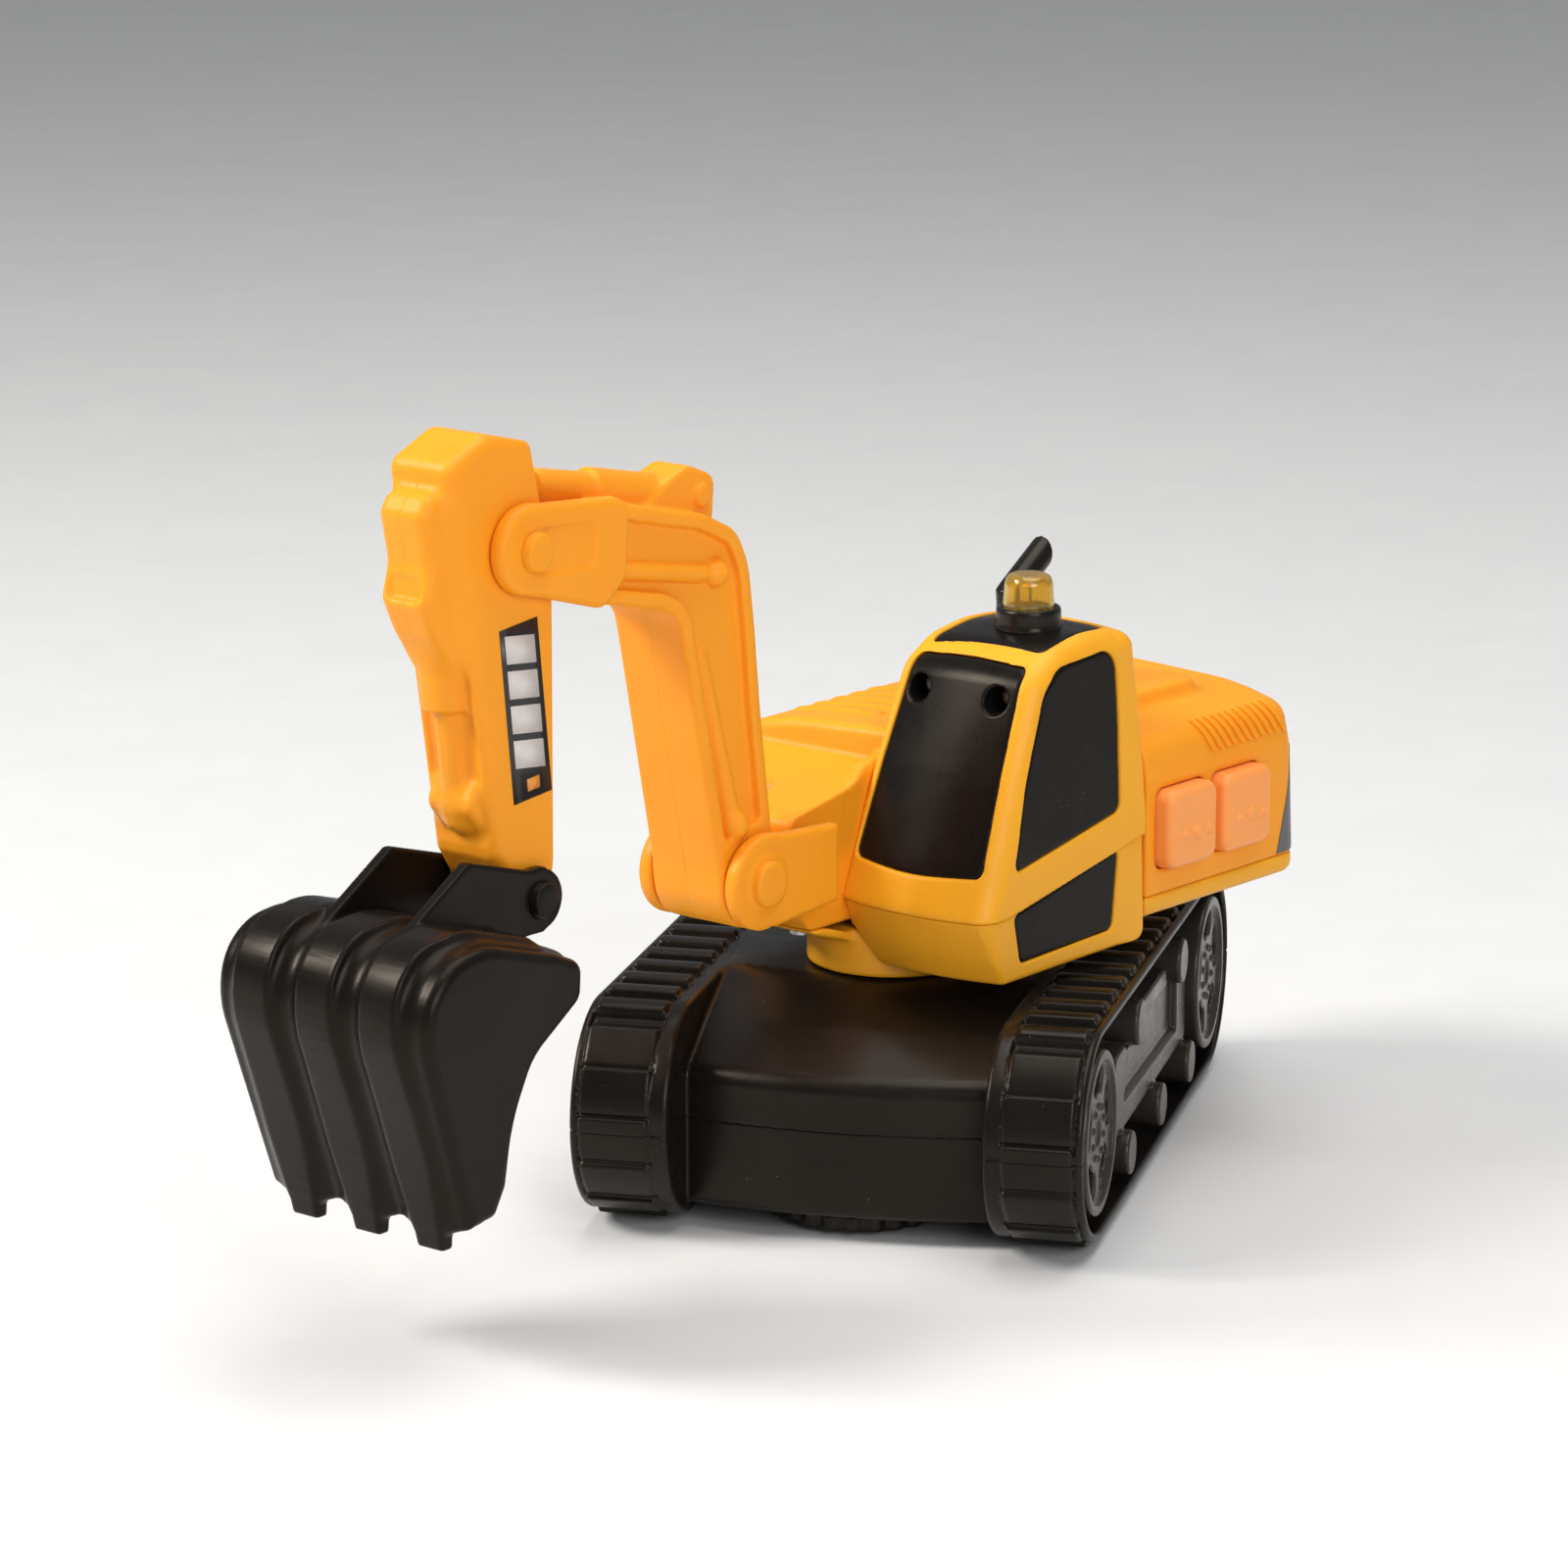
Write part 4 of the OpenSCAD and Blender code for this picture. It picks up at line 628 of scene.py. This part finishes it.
def chassis(upper):
    g = Grid((-120.5, -58, SPLIT_Z - 1 if upper else 0.4), (70.5, 58, 51.5 if upper else SPLIT_Z + 1), 0.5)
    bowed = np.abs(g.x + 25) + g.y ** 2 / 292
    deck = outline_at(bowed, g.z + 0 * g.x, DECK)
    box = rmax(deck + (0 if upper else 0.3), np.abs(g.y) - 35.6, 0.6)
    body = rmin(box, track(g), 0.9)
    body = cut(body, rmax(deck + 2.2, np.abs(g.y) - 33, 1), 0.3)
    for x, y in SCREWS:
        body = np.minimum(body, rmax(rmax(g.cyl("z", x, y, 3.5), deck + 1, 0.2), 7 - g.z, 0.2))
        body = cut(body, rmax(g.cyl("z", x, y, 2.7), g.z - 16, 0.1), 0.2)
    if upper:
        body = cut(body, rmax(g.cyl("z", 0, 0, 13.3), 40 - g.z, 0.2), 0.3)
        return turned(carve("chassis_upper_moulding", g, rmax(body, SPLIT_Z - SPLIT_LAP - g.z, 0.15), 0.3))
    body = cut(body, rmax(g.cyl("z", 31, 0, 12.25), g.z - 20, 0.2), 0.3)
    slots = rmax(np.abs(g.x + 84) - 10, np.abs(np.abs(g.y) - 24.3) - 4, 0.5)
    body = cut(body, rmax(slots, g.z - 20, 0.3), 0.3)
    return turned(carve("chassis_lower_moulding", g, rmax(body, g.z - SPLIT_Z - SPLIT_LAP, 0.15), 0.3))


ROLLERS = [(6.1, 10.3, 5.1), (-32.6, 10.5, 5.1), (-70.1, 10.3, 5.1), (-3.9, 38, 5.3), (-57.7, 38.2, 5.3)]
PLATE = [(17.4, 15.2, 1.5), (17.2, 34.2, 3.5), (4.0, 35.0, 1), (3.0, 33.5, 1), (-12, 33.5, 1), (-14, 39.0, 1.5),
    (-47, 39.2, 1.5), (-49, 33.5, 1), (-66, 33.5, 1), (-67.5, 39.2, 1.5), (-73.4, 36, 3), (-73.2, 15.2, 1.5)]
WINDOW = [(8.2, 21.6, 1.2), (-13, 34.8, 1.5), (-60.6, 34.8, 1.2), (-61, 20.1, 1.2)]


def wheel(g, x):
    """Wheel moulded on the side panel: rim, lobed pockets with a small bar in each, and a riveted hub plate."""
    r = np.hypot(g.x - x, g.z - WHEEL_Z)
    angle = np.arctan2(g.z - WHEEL_Z, g.x - x)
    fifth = ((angle / (2 * math.pi) * 5 + 0.25) % 1 - 0.5) * 2 * math.pi / 5
    disc = rmax(r - 18.4, g.y - 57.1, 0.9)
    disc = cut(disc, rmax(r - 15.9, 56.1 - g.y, 0.5), 0.4)
    kidney = rmax(np.abs(r - 11.9) - 3.0, (np.abs(fifth) - 0.43) * 11.9, 2.2)
    disc = cut(disc, rmax(kidney, 50.4 - g.y, 0.8), 0.6)
    bar = rmax(rmax(np.abs(r - 12.4) - 2.7, np.abs(fifth) * 12 - 1.3, 1.1), g.y - 55.2, 0.7)
    disc = rmin(disc, bar, 0.4)
    disc = cut(disc, rmax(r - 3.2, 55.4 - g.y, 0.4), 0.4)
    tenth = ((angle / (2 * math.pi) * 10) % 1 - 0.5) * 2 * math.pi / 10
    rivets = np.sqrt((r - 6.0) ** 2 + (tenth * 6.0) ** 2 + (g.y - 55.9) ** 2) - 0.95
    return rmin(disc, rivets, 0.15)


def side_panel():
    g = Grid((-117, 45.5, 2.5), (67, 57.6, 49.5), 0.4)
    reach, _, _ = track_path(g)
    floor = rmax(reach - 21.8, np.abs(g.y - 47) - 1.0, 0.3)
    plate = rmax(g.xz(PLATE), g.y - 54.7, 1.0)
    plate = cut(plate, rmax(g.xz(WINDOW), 53.0 - g.y, 0.5), 0.5)
    plate = rmin(plate, rmax(g.rod((6, 53.2, 21.4), (-60, 53.2, 20.0), 1.0), g.y - 54.6, 0.3), 0.4)
    body = rmin(floor, rmax(plate, 46.5 - g.y, 0.2), 0.8)
    for x, z, r in ROLLERS:
        boss = rmax(g.cyl("y", x, z, r), g.y - 57.0, 0.7)
        body = rmin(body, rmax(boss, 46.5 - g.y, 0.2), 0.5)
    for x in (FRONT_X, REAR_X):
        body = rmin(body, rmax(wheel(g, x), 46.5 - g.y, 0.2), 0.5)
    body = rmax(body, reach - 21.8, 0.3)
    left = carve("side_panel_left_moulding", g, body, 0.35)
    right = mirrored(left, "side_panel_right_moulding")
    return turned(left), turned(right)


def bogie():
    g = Grid((10, -21, 0.6), (52, 21, 9), 0.4)
    x = g.x - 31
    angle = np.arctan2(g.y, x)
    scallop = 0.9 * np.abs(np.cos(12 * angle)) ** 3
    disc = rmax(np.hypot(x, g.y) - 20.2 + scallop, np.abs(g.z - 2.9) - 1.8, 0.5)
    disc = rmin(disc, rmax(np.hypot(x, g.y) - 12, np.abs(g.z - 5.2) - 3.25, 0.3), 0.5)
    slots = rmax(np.abs(x) - 7.6, np.abs(np.abs(g.y) - 6) - 2.4, 0.4)
    disc = cut(disc, slots + 0 * g.z, 0.3)
    return turned(carve("bogie_disc_moulding", g, disc, 0.4))


# -------------------- pins and labels
def label(name, corners, field, lift=0.14, cells=26):
    """Thin sticker: a bent sheet of the given 3-D triangle or quad laid on the skin where field is zero."""
    a, b, c, d = (np.array(q, float) for q in (corners if len(corners) == 4 else corners + corners[-1:]))
    u, v = np.meshgrid(np.linspace(0, 1, cells + 1), np.linspace(0, 1, cells + 1), indexing="ij")
    u, v = u[..., None], v[..., None]
    flat = ((a * (1 - u) + b * u) * (1 - v) + (d * (1 - u) + c * u) * v).reshape(-1, 3)

    def value(q):
        cloud = Grid.__new__(Grid)
        cloud.x, cloud.y, cloud.z = q.T
        return field(cloud)

    def laid(height):
        q = flat.copy()
        for _ in range(8):
            here = value(q)
            slope = np.stack([(value(q + e) - value(q - e)) / 0.1 for e in np.eye(3) * 0.05], 1)
            q -= (here - height)[:, None] * slope / np.maximum((slope ** 2).sum(1), 0.2)[:, None]
        return q

    n = cells + 1
    points = np.concatenate([laid(lift), laid(-0.06)])
    i, j = np.meshgrid(np.arange(cells), np.arange(cells), indexing="ij")
    k = (i * n + j).ravel()
    top = np.stack([k, k + n, k + n + 1, k + 1], 1)
    there, back = range(cells), range(cells, 0, -1)
    rim = [q * n for q in there] + [cells * n + q for q in there]
    rim = np.array(rim + [q * n + cells for q in back] + list(back))
    nxt, low = np.roll(rim, -1), n * n
    sides = np.stack([nxt, rim, rim + low, nxt + low], 1)
    obj = mesh_object(name, points * MM, np.concatenate([top, top[:, ::-1] + low, sides]))
    weld = obj.modifiers.new("weld", "WELD")
    weld.merge_threshold = 2e-6
    return freeze(obj)


# -------------------- materials
class Finish:
    """A node material on object coordinates, in metres."""

    def __init__(self, name):
        self.mat = bpy.data.materials.new(name)
        self.mat.use_nodes = True
        self.tree = self.mat.node_tree
        self.shader = self.tree.nodes["Principled BSDF"]
        self.place = self.add("ShaderNodeTexCoord").outputs["Object"]

    def add(self, kind, settings=None, **inputs):
        node = self.tree.nodes.new(kind)
        for key, value in (settings or {}).items():
            setattr(node, key, value)
        for key, value in inputs.items():
            numbered = key[0] == "_" and key[1:].isdigit()
            socket = node.inputs[int(key[1:]) if numbered else key.replace("_", " ")]
            self.feed(socket, value)
        return node

    def feed(self, socket, value):
        if isinstance(value, bpy.types.NodeSocket):
            self.tree.links.new(value, socket)
        else:
            socket.default_value = value

    def math(self, operation, a, b=0.0, clamp=False):
        return self.add("ShaderNodeMath", {"operation": operation, "use_clamp": clamp}, _0=a, _1=b).outputs[0]

    def noise(self, scale, detail=3.0, stretch=(1, 1, 1), roughness=0.55):
        at = self.add("ShaderNodeMapping", Vector=self.place, Scale=stretch).outputs[0]
        return self.add("ShaderNodeTexNoise", Vector=at, Scale=scale, Detail=detail, Roughness=roughness).outputs[0]

    def ramp(self, value, low, high, to_low=0.0, to_high=1.0):
        return self.add("ShaderNodeMapRange", {"clamp": True}, Value=value, From_Min=low, From_Max=high,
            To_Min=to_low, To_Max=to_high).outputs[0]

    def mix(self, share, a, b):
        node = self.add("ShaderNodeMix", {"data_type": "RGBA"})
        self.feed(node.inputs[0], share)
        self.feed(node.inputs[6], a)
        self.feed(node.inputs[7], b)
        return node.outputs[2]

    def bump(self, height, distance, below=None):
        node = self.add("ShaderNodeBump", Height=height, Distance=distance, Strength=1.0)
        if below is not None:
            self.feed(node.inputs["Normal"], below)
        return node.outputs[0]

    def specks(self, scale, share, size):
        """Small round specks in a share of the cells."""
        cells = self.add("ShaderNodeTexVoronoi", {"feature": "F1"}, Vector=self.place, Scale=scale)
        chosen = self.ramp(cells.outputs["Color"], 1 - share, 1 - share + 0.02)
        return self.math("MULTIPLY", chosen, self.ramp(cells.outputs["Distance"], size * 0.6, size, 1, 0),
            clamp=True)

    def scratches(self, scale, stretch, width):
        """Long fine lines where a stretched noise crosses its middle."""
        lines = self.noise(scale, 1.0, stretch)
        near = self.math("ABSOLUTE", self.math("SUBTRACT", lines, 0.5))
        patch = self.ramp(self.noise(45, 2.0), 0.5, 0.62)
        return self.math("MULTIPLY", self.ramp(near, width * 0.4, width, 1, 0), patch, clamp=True)


WHITE, WARM = (1, 1, 1, 1), (1, 0.86, 0.7, 1)  # tint of the gloss


def plastic(name, base, shade, rough, grain=0.000006, wave=0.00002, dust=0.0, scratch=0.0, soft=0.0, shine=0.5,
        tint=WHITE):
    """Moulded plastic: cloudy colour, orange peel, fine grain, dust and scratches."""
    f = Finish(name)
    cloud = f.ramp(f.noise(28, 4.0), 0.35, 0.68)
    colour = f.mix(cloud, base, shade)
    smudge = f.noise(75, 5.0, roughness=0.7)
    roughness = f.ramp(smudge, 0.3, 0.72, rough - 0.05, rough + 0.09)
    if scratch:
        marks = f.scratches(240, (1, 14, 3), 0.006)
        marks = f.math("MAXIMUM", marks, f.scratches(200, (9, 1, 12), 0.005))
        marks = f.math("MULTIPLY", marks, scratch, clamp=True)
        colour = f.mix(marks, colour, (0.06, 0.053, 0.048, 1))
        roughness = f.math("ADD", roughness, f.math("MULTIPLY", marks, 0.25), clamp=True)
    if dust:
        flecks = f.math("MAXIMUM", f.specks(430, dust * 0.5, 0.07), f.specks(900, dust, 0.10))
        flecks = f.math("MULTIPLY", flecks, f.ramp(f.noise(22, 2.0), 0.38, 0.6, 0.25, 1.0))
        colour = f.mix(flecks, colour, (0.34, 0.31, 0.27, 1))
        roughness = f.math("ADD", roughness, f.math("MULTIPLY", flecks, 0.3), clamp=True)
    peel = f.bump(f.noise(150, 2.0), wave)
    fine = f.bump(f.noise(2400, 2.0), grain, peel)
    for key, value in (("Base Color", colour), ("Roughness", roughness), ("Normal", fine),
            ("Specular IOR Level", shine), ("Specular Tint", tint), ("Subsurface Weight", soft),
            ("Subsurface Radius", (1.0, 0.42, 0.12)), ("Subsurface Scale", 0.003)):
        f.feed(f.shader.inputs[key], value)
    return f.mat


def brushed(name, base, rough, stretch, metal=1.0):
    """Metal with drawn lines and light tarnish."""
    f = Finish(name)
    lines = f.noise(900, 3.0, stretch)
    stain = f.ramp(f.noise(130, 4.0), 0.4, 0.75)
    dark = tuple(0.6 * c for c in base[:3]) + (1,)
    f.feed(f.shader.inputs["Base Color"], f.mix(f.math("MULTIPLY", stain, 0.6), base, dark))
    f.feed(f.shader.inputs["Roughness"], f.ramp(lines, 0.3, 0.7, rough - 0.06, rough + 0.12))
    f.feed(f.shader.inputs["Normal"], f.bump(lines, 0.00002))
    f.shader.inputs["Metallic"].default_value = metal
    return f.mat


def clear(name, base, tint, rough, ior=1.49, share=0.9):
    """Clear or tinted plastic with faint flow lines and haze."""
    f = Finish(name)
    f.feed(f.shader.inputs["Base Color"], f.mix(f.ramp(f.noise(260, 3.0), 0.35, 0.7), base, tint))
    f.feed(f.shader.inputs["Roughness"], f.ramp(f.noise(400, 4.0), 0.3, 0.7, rough, rough + 0.08))
    f.feed(f.shader.inputs["Normal"], f.bump(f.noise(320, 2.0), 0.00004))
    f.shader.inputs["Transmission Weight"].default_value = share
    f.shader.inputs["IOR"].default_value = ior
    return f.mat


def printed(name, base, mark, rough, scale):
    """Printed sheet: fine print screen, slight fading and handling marks."""
    f = Finish(name)
    screen = f.add("ShaderNodeTexVoronoi", {"feature": "F1"}, Vector=f.place, Scale=scale).outputs["Distance"]
    fade = f.ramp(f.noise(60, 5.0), 0.3, 0.75, 0.0, 0.5)
    colour = f.mix(f.math("MULTIPLY", f.ramp(screen, 0.2, 0.6), 0.25), base, mark)
    f.feed(f.shader.inputs["Base Color"], f.mix(fade, colour, mark))
    f.feed(f.shader.inputs["Roughness"], f.ramp(f.noise(180, 3.0), 0.3, 0.7, rough - 0.05, rough + 0.1))
    f.feed(f.shader.inputs["Normal"], f.bump(f.noise(700, 2.0), 0.00001))
    return f.mat


MATERIALS = {
    "black_plastic": plastic("black_plastic", (0.0052, 0.0042, 0.0036, 1), (0.0078, 0.0063, 0.0053, 1), 0.3,
        dust=0.16, scratch=0.25, shine=0.25, tint=WARM),
    "black_gloss_plastic": plastic("black_gloss_plastic", (0.0055, 0.0046, 0.0042, 1), (0.008, 0.007, 0.006, 1),
        0.24, dust=0.06, scratch=0.12, shine=0.3, tint=WARM),
    "steel": brushed("steel", (0.58, 0.58, 0.57, 1), 0.3, (1, 1, 8)),
    "roller_plastic": plastic("roller_plastic", (0.03, 0.03, 0.03, 1), (0.045, 0.044, 0.042, 1), 0.42, dust=0.2,
        scratch=0.5),
    "yellow_plastic": plastic("yellow_plastic", (0.90, 0.400, 0.017, 1), (0.875, 0.380, 0.015, 1), 0.38, soft=0.18,
        shine=0.26),
    "orange_plastic": plastic("orange_plastic", (0.95, 0.342, 0.014, 1), (0.93, 0.325, 0.012, 1), 0.42, soft=0.2,
        shine=0.24),
    "battery_jacket": printed("battery_jacket", (0.02, 0.022, 0.028, 1), (0.10, 0.105, 0.12, 1), 0.3, 900),
    "contact_brass": brushed("contact_brass", (0.72, 0.58, 0.3, 1), 0.3, (8, 1, 1)),
    "board_green": printed("board_green", (0.012, 0.10, 0.035, 1), (0.03, 0.19, 0.07, 1), 0.35, 500),
    "speaker_grey": brushed("speaker_grey", (0.22, 0.22, 0.23, 1), 0.4, (1, 1, 4), 0.7),
    "button_plastic": plastic("button_plastic", (1.0, 0.36, 0.085, 1), (0.99, 0.335, 0.075, 1), 0.38, soft=0.3,
        shine=0.4),
    "window_plastic": plastic("window_plastic", (0.005, 0.0042, 0.0038, 1), (0.007, 0.006, 0.0054, 1), 0.26,
        dust=0.08, scratch=0.3, shine=0.14, wave=0.00001, tint=WARM),
    "led_clear": clear("led_clear", (0.93, 0.93, 0.91, 1), (0.86, 0.88, 0.88, 1), 0.03),
    "amber_clear": clear("amber_clear", (0.98, 0.72, 0.16, 1), (0.95, 0.62, 0.10, 1), 0.06),
    "decal_grey": printed("decal_grey", (0.085, 0.08, 0.083, 1), (0.13, 0.125, 0.13, 1), 0.36, 1400),
    "bucket_plastic": plastic("bucket_plastic", (0.0062, 0.0047, 0.0038, 1), (0.0088, 0.0068, 0.0055, 1), 0.29,
        dust=0.05, scratch=0.25, shine=0.16, tint=WARM),
    # side panel finish: base and second tone are lighter than the black plastic, a painted sheen that stands in for
    # the grey reflection on the flat faces of the glossy black panels
    "side_panel_plastic": plastic("side_panel_plastic", (0.027, 0.0225, 0.019, 1), (0.032, 0.027, 0.023, 1), 0.27,
        dust=0.02, scratch=0.04, shine=0.36, tint=WARM),
}
LABEL_DARK = printed("label_dark", (0.014, 0.012, 0.012, 1), (0.03, 0.027, 0.026, 1), 0.34, 1600)
LABEL_PALE = printed("label_pale", (0.70, 0.64, 0.60, 1), (0.60, 0.54, 0.50, 1), 0.38, 1600)
LABEL_ORANGE = printed("label_orange", (0.82, 0.30, 0.04, 1), (0.72, 0.26, 0.035, 1), 0.38, 1600)

# every node that stays as it came gets its finish by the name of its slot
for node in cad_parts.values():
    for holder in node.material_slots:
        stem = holder.material.name.split(".")[0] if holder.material else ""
        holder.material = MATERIALS.get(stem, MATERIALS["black_plastic"])


# -------------------- putting it together
def fit(piece, body, nodes, finish):
    """Finishes a piece, puts it on its body and hides the nodes that it stands for."""
    if not piece.data.materials:
        piece.data.materials.append(MATERIALS[finish])
    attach(piece, body)
    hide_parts(*nodes)
    return piece


fit(chassis(True), "undercarriage", ["chassis_upper"], "black_plastic")
fit(chassis(False), "undercarriage", ["chassis_lower"], "black_plastic")
for piece in side_panel():
    # side panels get the lighter finish with the painted sheen
    piece.data.materials.append(MATERIALS["side_panel_plastic"])
    fit(piece, "undercarriage", [piece.name.replace("_moulding", "")], "black_gloss_plastic")
fit(bogie(), "bogie", ["bogie_disc"], "black_plastic")
fit(house_shell(), "house", ["house_shell"], "orange_plastic")
for piece in louvres():
    fit(piece, "house", ["house_shell"], "orange_plastic")
fit(house_base(), "house", ["house_base"], "yellow_plastic")
for piece, finish in zip(cab(), ["yellow_plastic"] * 2 + ["window_plastic"] * 5):
    fit(piece, "house", [piece.name.replace("_moulding", "").replace("_glazing", "")], finish)
for name, x in zip(("button_front", "button_rear"), BUTTON_X):
    fit(button(name + "_key", x), name + "_body", [name], "button_plastic")
for piece in both_halves(boom_half, "boom"):
    fit(piece, "boom", [piece.name.replace("_moulding", "")], "orange_plastic")
for piece in both_halves(stick_half, "stick"):
    fit(piece, "stick", [piece.name.replace("_moulding", "")], "orange_plastic")
fit(bucket(), "bucket", ["bucket"], "bucket_plastic")
fit(pin("boom_pin_headed", *BOOM_PIN, 14, 5), "house", ["boom_pin"], "orange_plastic")
fit(pin("stick_pin_headed", *STICK_PIN, 13, 4), "boom", ["stick_pin"], "orange_plastic")
fit(pin("bucket_pin_headed", *BUCKET_PIN, 12, 3.8), "bucket", ["bucket_pin"], "bucket_plastic")
for piece, finish in zip(roof_fittings(), ("black_gloss_plastic", "amber_clear", "black_gloss_plastic")):
    fit(piece, "house", ["_".join(piece.name.split("_")[:2])], finish)


# labels: a plain dark one with pale slanted bars on each side of the stick, a grey triangle on each rear corner
def across_label(u, v):
    """Point of the stick label from its own coordinates, u along its width and v from foot to head, both 0 to 1."""
    foot_a, foot_b, head_a, head_b = (124.8, 113.9), (136.5, 112.7), (128.9, 151.3), (140.5, 150.0)
    low = [foot_a[i] * (1 - u) + foot_b[i] * u for i in (0, 1)]
    high = [head_a[i] * (1 - u) + head_b[i] * u for i in (0, 1)]
    x, z = (low[i] * (1 - v) + high[i] * v for i in (0, 1))
    return (x, STICK_HALF, z)


def stick_side(g):
    return g.y - STICK_HALF


def stick_sheet(name, corners, lift, cells, paint):
    sheet = label(name, [across_label(*q) for q in corners], stick_side, lift, cells)
    sheet.data.materials.append(paint)
    return sheet


sheets = [stick_sheet("label_base", [(0, 0), (1, 0), (1, 1), (0, 1)], 0.10, 4, LABEL_DARK)]
square = [(0.30, 0.045), (0.62, 0.045), (0.62, 0.115), (0.30, 0.115)]
sheets.append(stick_sheet("label_square", square, 0.16, 2, LABEL_ORANGE))
for low, high in ((0.15, 0.31), (0.35, 0.51), (0.55, 0.71), (0.75, 0.91)):
    bar = [(0.12, low), (0.88, low + 0.05), (0.88, high + 0.05), (0.12, high)]
    sheets.append(stick_sheet("label_bar", bar, 0.16, 2, LABEL_PALE))
base = sheets[0]
with bpy.context.temp_override(active_object=base, object=base, selected_objects=sheets,
        selected_editable_objects=sheets):
    bpy.ops.object.join()
base.name = base.data.name = "stick_label_left"
fit(base, "stick", ["stick_decals"], "decal_grey")
fit(mirrored(base, "stick_label_right"), "stick", ["stick_decals"], "decal_grey")
patch = label("house_label_left", [(-95.6, 43, 89.6), (-88.5, 43.2, 64.4), (-99.0, 37.5, 64.6)], house_form, 0.12,
    24)
patch.data.materials.append(MATERIALS["decal_grey"])
fit(patch, "house", ["house_decals"], "decal_grey")
fit(mirrored(patch, "house_label_right"), "house", ["house_decals"], "decal_grey")


# -------------------- camera, light and floor
RIGHT, UP = Vector((-0.6386, 0.7696, 0.0004)), Vector((-0.1788, -0.1488, 0.9726))
AHEAD = Vector((-0.7485, -0.6210, -0.2326))
lens = bpy.data.cameras.new("camera")
lens.lens, lens.sensor_width, lens.clip_start, lens.clip_end = 141.07, 36.0, 0.05, 20.0
camera = bpy.data.objects.new("camera", lens)
bpy.context.collection.objects.link(camera)
camera.matrix_world = Matrix((RIGHT, UP, -AHEAD)).transposed().to_4x4()
camera.location = (1.0492, 0.8386, 0.4119)
bpy.context.scene.camera = camera


def softbox(name, at, size, watts, aim=(0, 0, 0.07), colour=(1, 1, 1)):
    light = bpy.data.lights.new(name, "AREA")
    light.shape, light.size, light.size_y, light.energy, light.color = "RECTANGLE", size[0], size[1], watts, colour
    lamp = bpy.data.objects.new(name, light)
    bpy.context.collection.objects.link(lamp)
    lamp.location = at
    lamp.rotation_euler = (Vector(aim) - Vector(at)).to_track_quat("-Z", "Y").to_euler()
    return lamp


softbox("key", (0.95, -0.75, 1.05), (0.55, 0.55), 20.5, colour=(1.0, 0.97, 0.93))
softbox("top", (-0.1, 0.15, 1.5), (1.5, 1.1), 15)
softbox("fill", (0.75, 1.45, 0.75), (0.9, 0.8), 11, colour=(0.98, 0.98, 1.0))
sky = bpy.data.worlds.new("studio")
sky.use_nodes = True
sky.node_tree.nodes["Background"].inputs[0].default_value = (0.82, 0.84, 0.86, 1)
sky.node_tree.nodes["Background"].inputs[1].default_value = 0.32
bpy.context.scene.world = sky
bpy.context.scene.view_settings.view_transform = "Standard"

grid_size, grid_cells = 3.2, 8
fx, fy = np.meshgrid(np.linspace(-grid_size, grid_size, grid_cells + 1), np.linspace(-grid_size, grid_size,
    grid_cells + 1), indexing="ij")
floor_points = np.stack([fx.ravel(), fy.ravel(), np.full(fx.size, -0.0003)], 1)
fi, fj = np.meshgrid(np.arange(grid_cells), np.arange(grid_cells), indexing="ij")
corner = (fi * (grid_cells + 1) + fj).ravel()
floor = mesh_object("floor", floor_points, np.stack([corner, corner + grid_cells + 1, corner + grid_cells + 2,
    corner + 1], 1))
floor.data.materials.append(plastic("floor_paint", (0.78, 0.78, 0.77, 1), (0.76, 0.76, 0.755, 1), 0.6, grain=0.0,
    wave=0.0))
